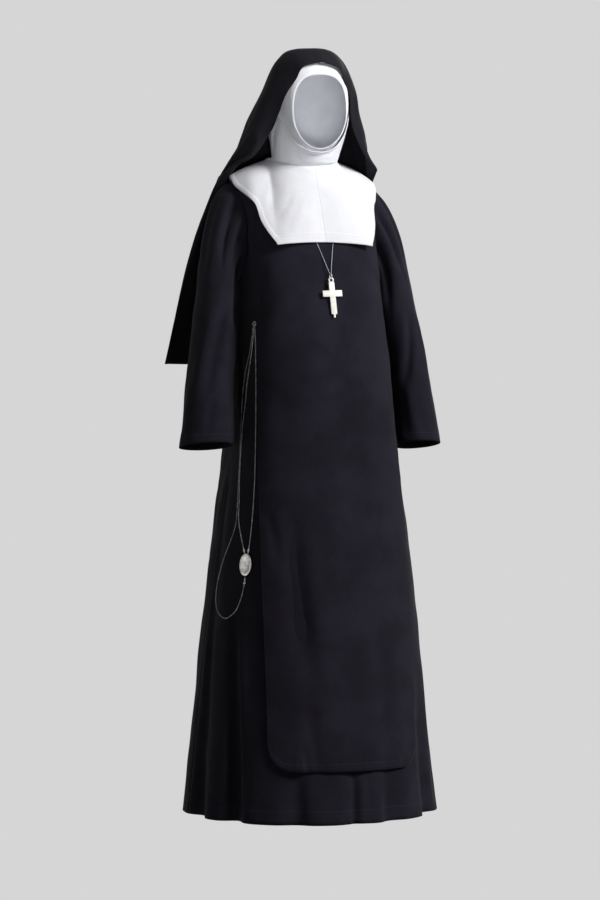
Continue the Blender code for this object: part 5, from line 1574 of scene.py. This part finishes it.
def make_lights():
    area_light("key", (2.8, -3.6, 2.3), (0.0, 0.0, -0.3), 1.8, 310.0)
    area_light("fill", (-4.2, -3.6, 0.8), (0.0, 0.0, -0.6), 3.0, 6.0)
    area_light("top", (0.6, 0.8, 3.2), (0.0, 0.0, -0.4), 2.5, 14.0)
    area_light("behind", (2.4, 3.4, 1.6), (0.0, 0.0, -0.5), 2.0, 150.0)
    gleam = area_light("gleam", (-4.0, -0.6, -0.4), (0.0, 0.0, -0.7), 3.0, 24.0)
    gleam.visible_diffuse = False
    data = bpy.data.lights.new("head", "SPOT")
    data.energy = 170.0
    data.spot_size = math.radians(13.0)
    data.spot_blend = 1.0
    data.shadow_soft_size = 0.3
    head = bpy.data.objects.new("head", data)
    bpy.context.scene.collection.objects.link(head)
    head.location = (-0.9, -2.9, -0.5)
    head.rotation_euler = (Vector((0.0, 0.0, 0.10)) - head.location).to_track_quat("-Z", "Y").to_euler()
    world = bpy.data.worlds.new("soft_room")
    world.use_nodes = True
    world.node_tree.nodes["Background"].inputs["Color"].default_value = (0.92, 0.95, 1.0, 1.0)
    world.node_tree.nodes["Background"].inputs["Strength"].default_value = 0.07
    bpy.context.scene.world = world
    bpy.context.scene.view_settings.view_transform = "Standard"


make_camera()
neck_cord, cord_path, cord_length = make_neck_cord()
# Strand A gets the darker bead colour, which is painted shade
strand_a, wire_a, path_a, length_a = bead_strand("rosary_strand_a", CHAIN_A, "rosary_chain_a", bead_painted_shade)
strand_b, wire_b, path_b, length_b = bead_strand("rosary_strand_b", CHAIN_B, "rosary_chain_b", bead_bright)
strand_c, wire_c, path_c, length_c = bead_strand("rosary_strand_c", CHAIN_C, "rosary_chain_c", bead_bright)
medal = make_medal()
caps = strand_caps((
    (path_b[-3], path_b[-1] - path_b[-3], 0.0019, 0.0050),
    (path_c[-3], path_c[-1] - path_c[-3], 0.0019, 0.0050),
    (path_a[-3], path_a[-1] - path_a[-3], 0.0012, 0.0040),
    (path_a[-5], path_a[-4] - path_a[-5], 0.0025, 0.0027),
))
swing, swing_left, swing_fall, swing_out = chest_frame()
cross_ring = make_ring("jump_ring", swing - swing_fall * RING_RADIUS, swing_left, RING_RADIUS, RING_WIRE,
                       "cross_ring", "habit")
hook_centre = Vector(on_skirt([HOOK_ANGLE], [HOOK_Z], HOOK_WIRE + 0.0004)[0])
hook_out = hook_centre - Vector(on_skirt([HOOK_ANGLE], [HOOK_Z], 0.0)[0])
hook = make_ring("hook_ring", hook_centre, hook_out, HOOK_RADIUS, HOOK_WIRE, "rosary_hook", "habit")
make_cross()

tunic_front = finish_piece(tunic_panel(1), black_tunic, "habit", ("tunic_front",))
tunic_back = finish_piece(tunic_panel(-1), black_tunic, "habit", ("tunic_back",))
scapular_front = finish_piece(scapular_panel(1), black_scapular, "habit", ("scapular_front",))
scapular_back = finish_piece(scapular_panel(-1), black_scapular, "habit", ("scapular_back",))
sleeve_right = finish_piece(sleeve_cloth("sleeve_right_cloth", -1, SLEEVE_RIGHT, SLEEVE_RIGHT_CREASES),
                            black_sleeve, "habit", ("sleeve_right",))
sleeve_left = finish_piece(sleeve_cloth("sleeve_left_cloth", 1, SLEEVE_LEFT, SLEEVE_LEFT_CREASES),
                           black_sleeve, "habit", ("sleeve_left",))
guimpe_front = finish_piece(bib_panel(1), white_bib, "habit", ("guimpe_front",))
guimpe_back = finish_piece(bib_panel(-1), white_bib, "habit", ("guimpe_back",))
guimpe_neck = finish_piece(neck_cloth(), white_coif, "habit", ("guimpe_neck",))
coif = finish_piece(coif_cloth(), white_coif, "habit", ("coif",))
veil = finish_piece(veil_cloth(), black_veil, "habit", ("veil",))
make_stage()
make_lights()

tuple(cord_path[0])
tuple(path_a[0])
[tuple(p) for p in path_a]
tuple(path_b[0])
[tuple(p) for p in path_b]
tuple(path_c[0])
[tuple(p) for p in path_c]

# How each piece of cloth is held, and what it rests on
WORN = (
    (tunic_front, "hung", ()),
    (tunic_back, "hung", ()),
    (sleeve_right, "hung", ()),
    (sleeve_left, "hung", ()),
    (scapular_front, "draped", ("tunic_front",)),
    (scapular_back, "draped", ("tunic_back",)),
    (guimpe_front, "draped", ("scapular_front",)),
    (guimpe_back, "draped", ("scapular_back",)),
    (guimpe_neck, "stretched", ()),
    (coif, "stretched", ()),
    (veil, "draped", ("coif",)),
)
for cloth, held, under in WORN:
    extra = {"rests_on": list(under)} if under else {}
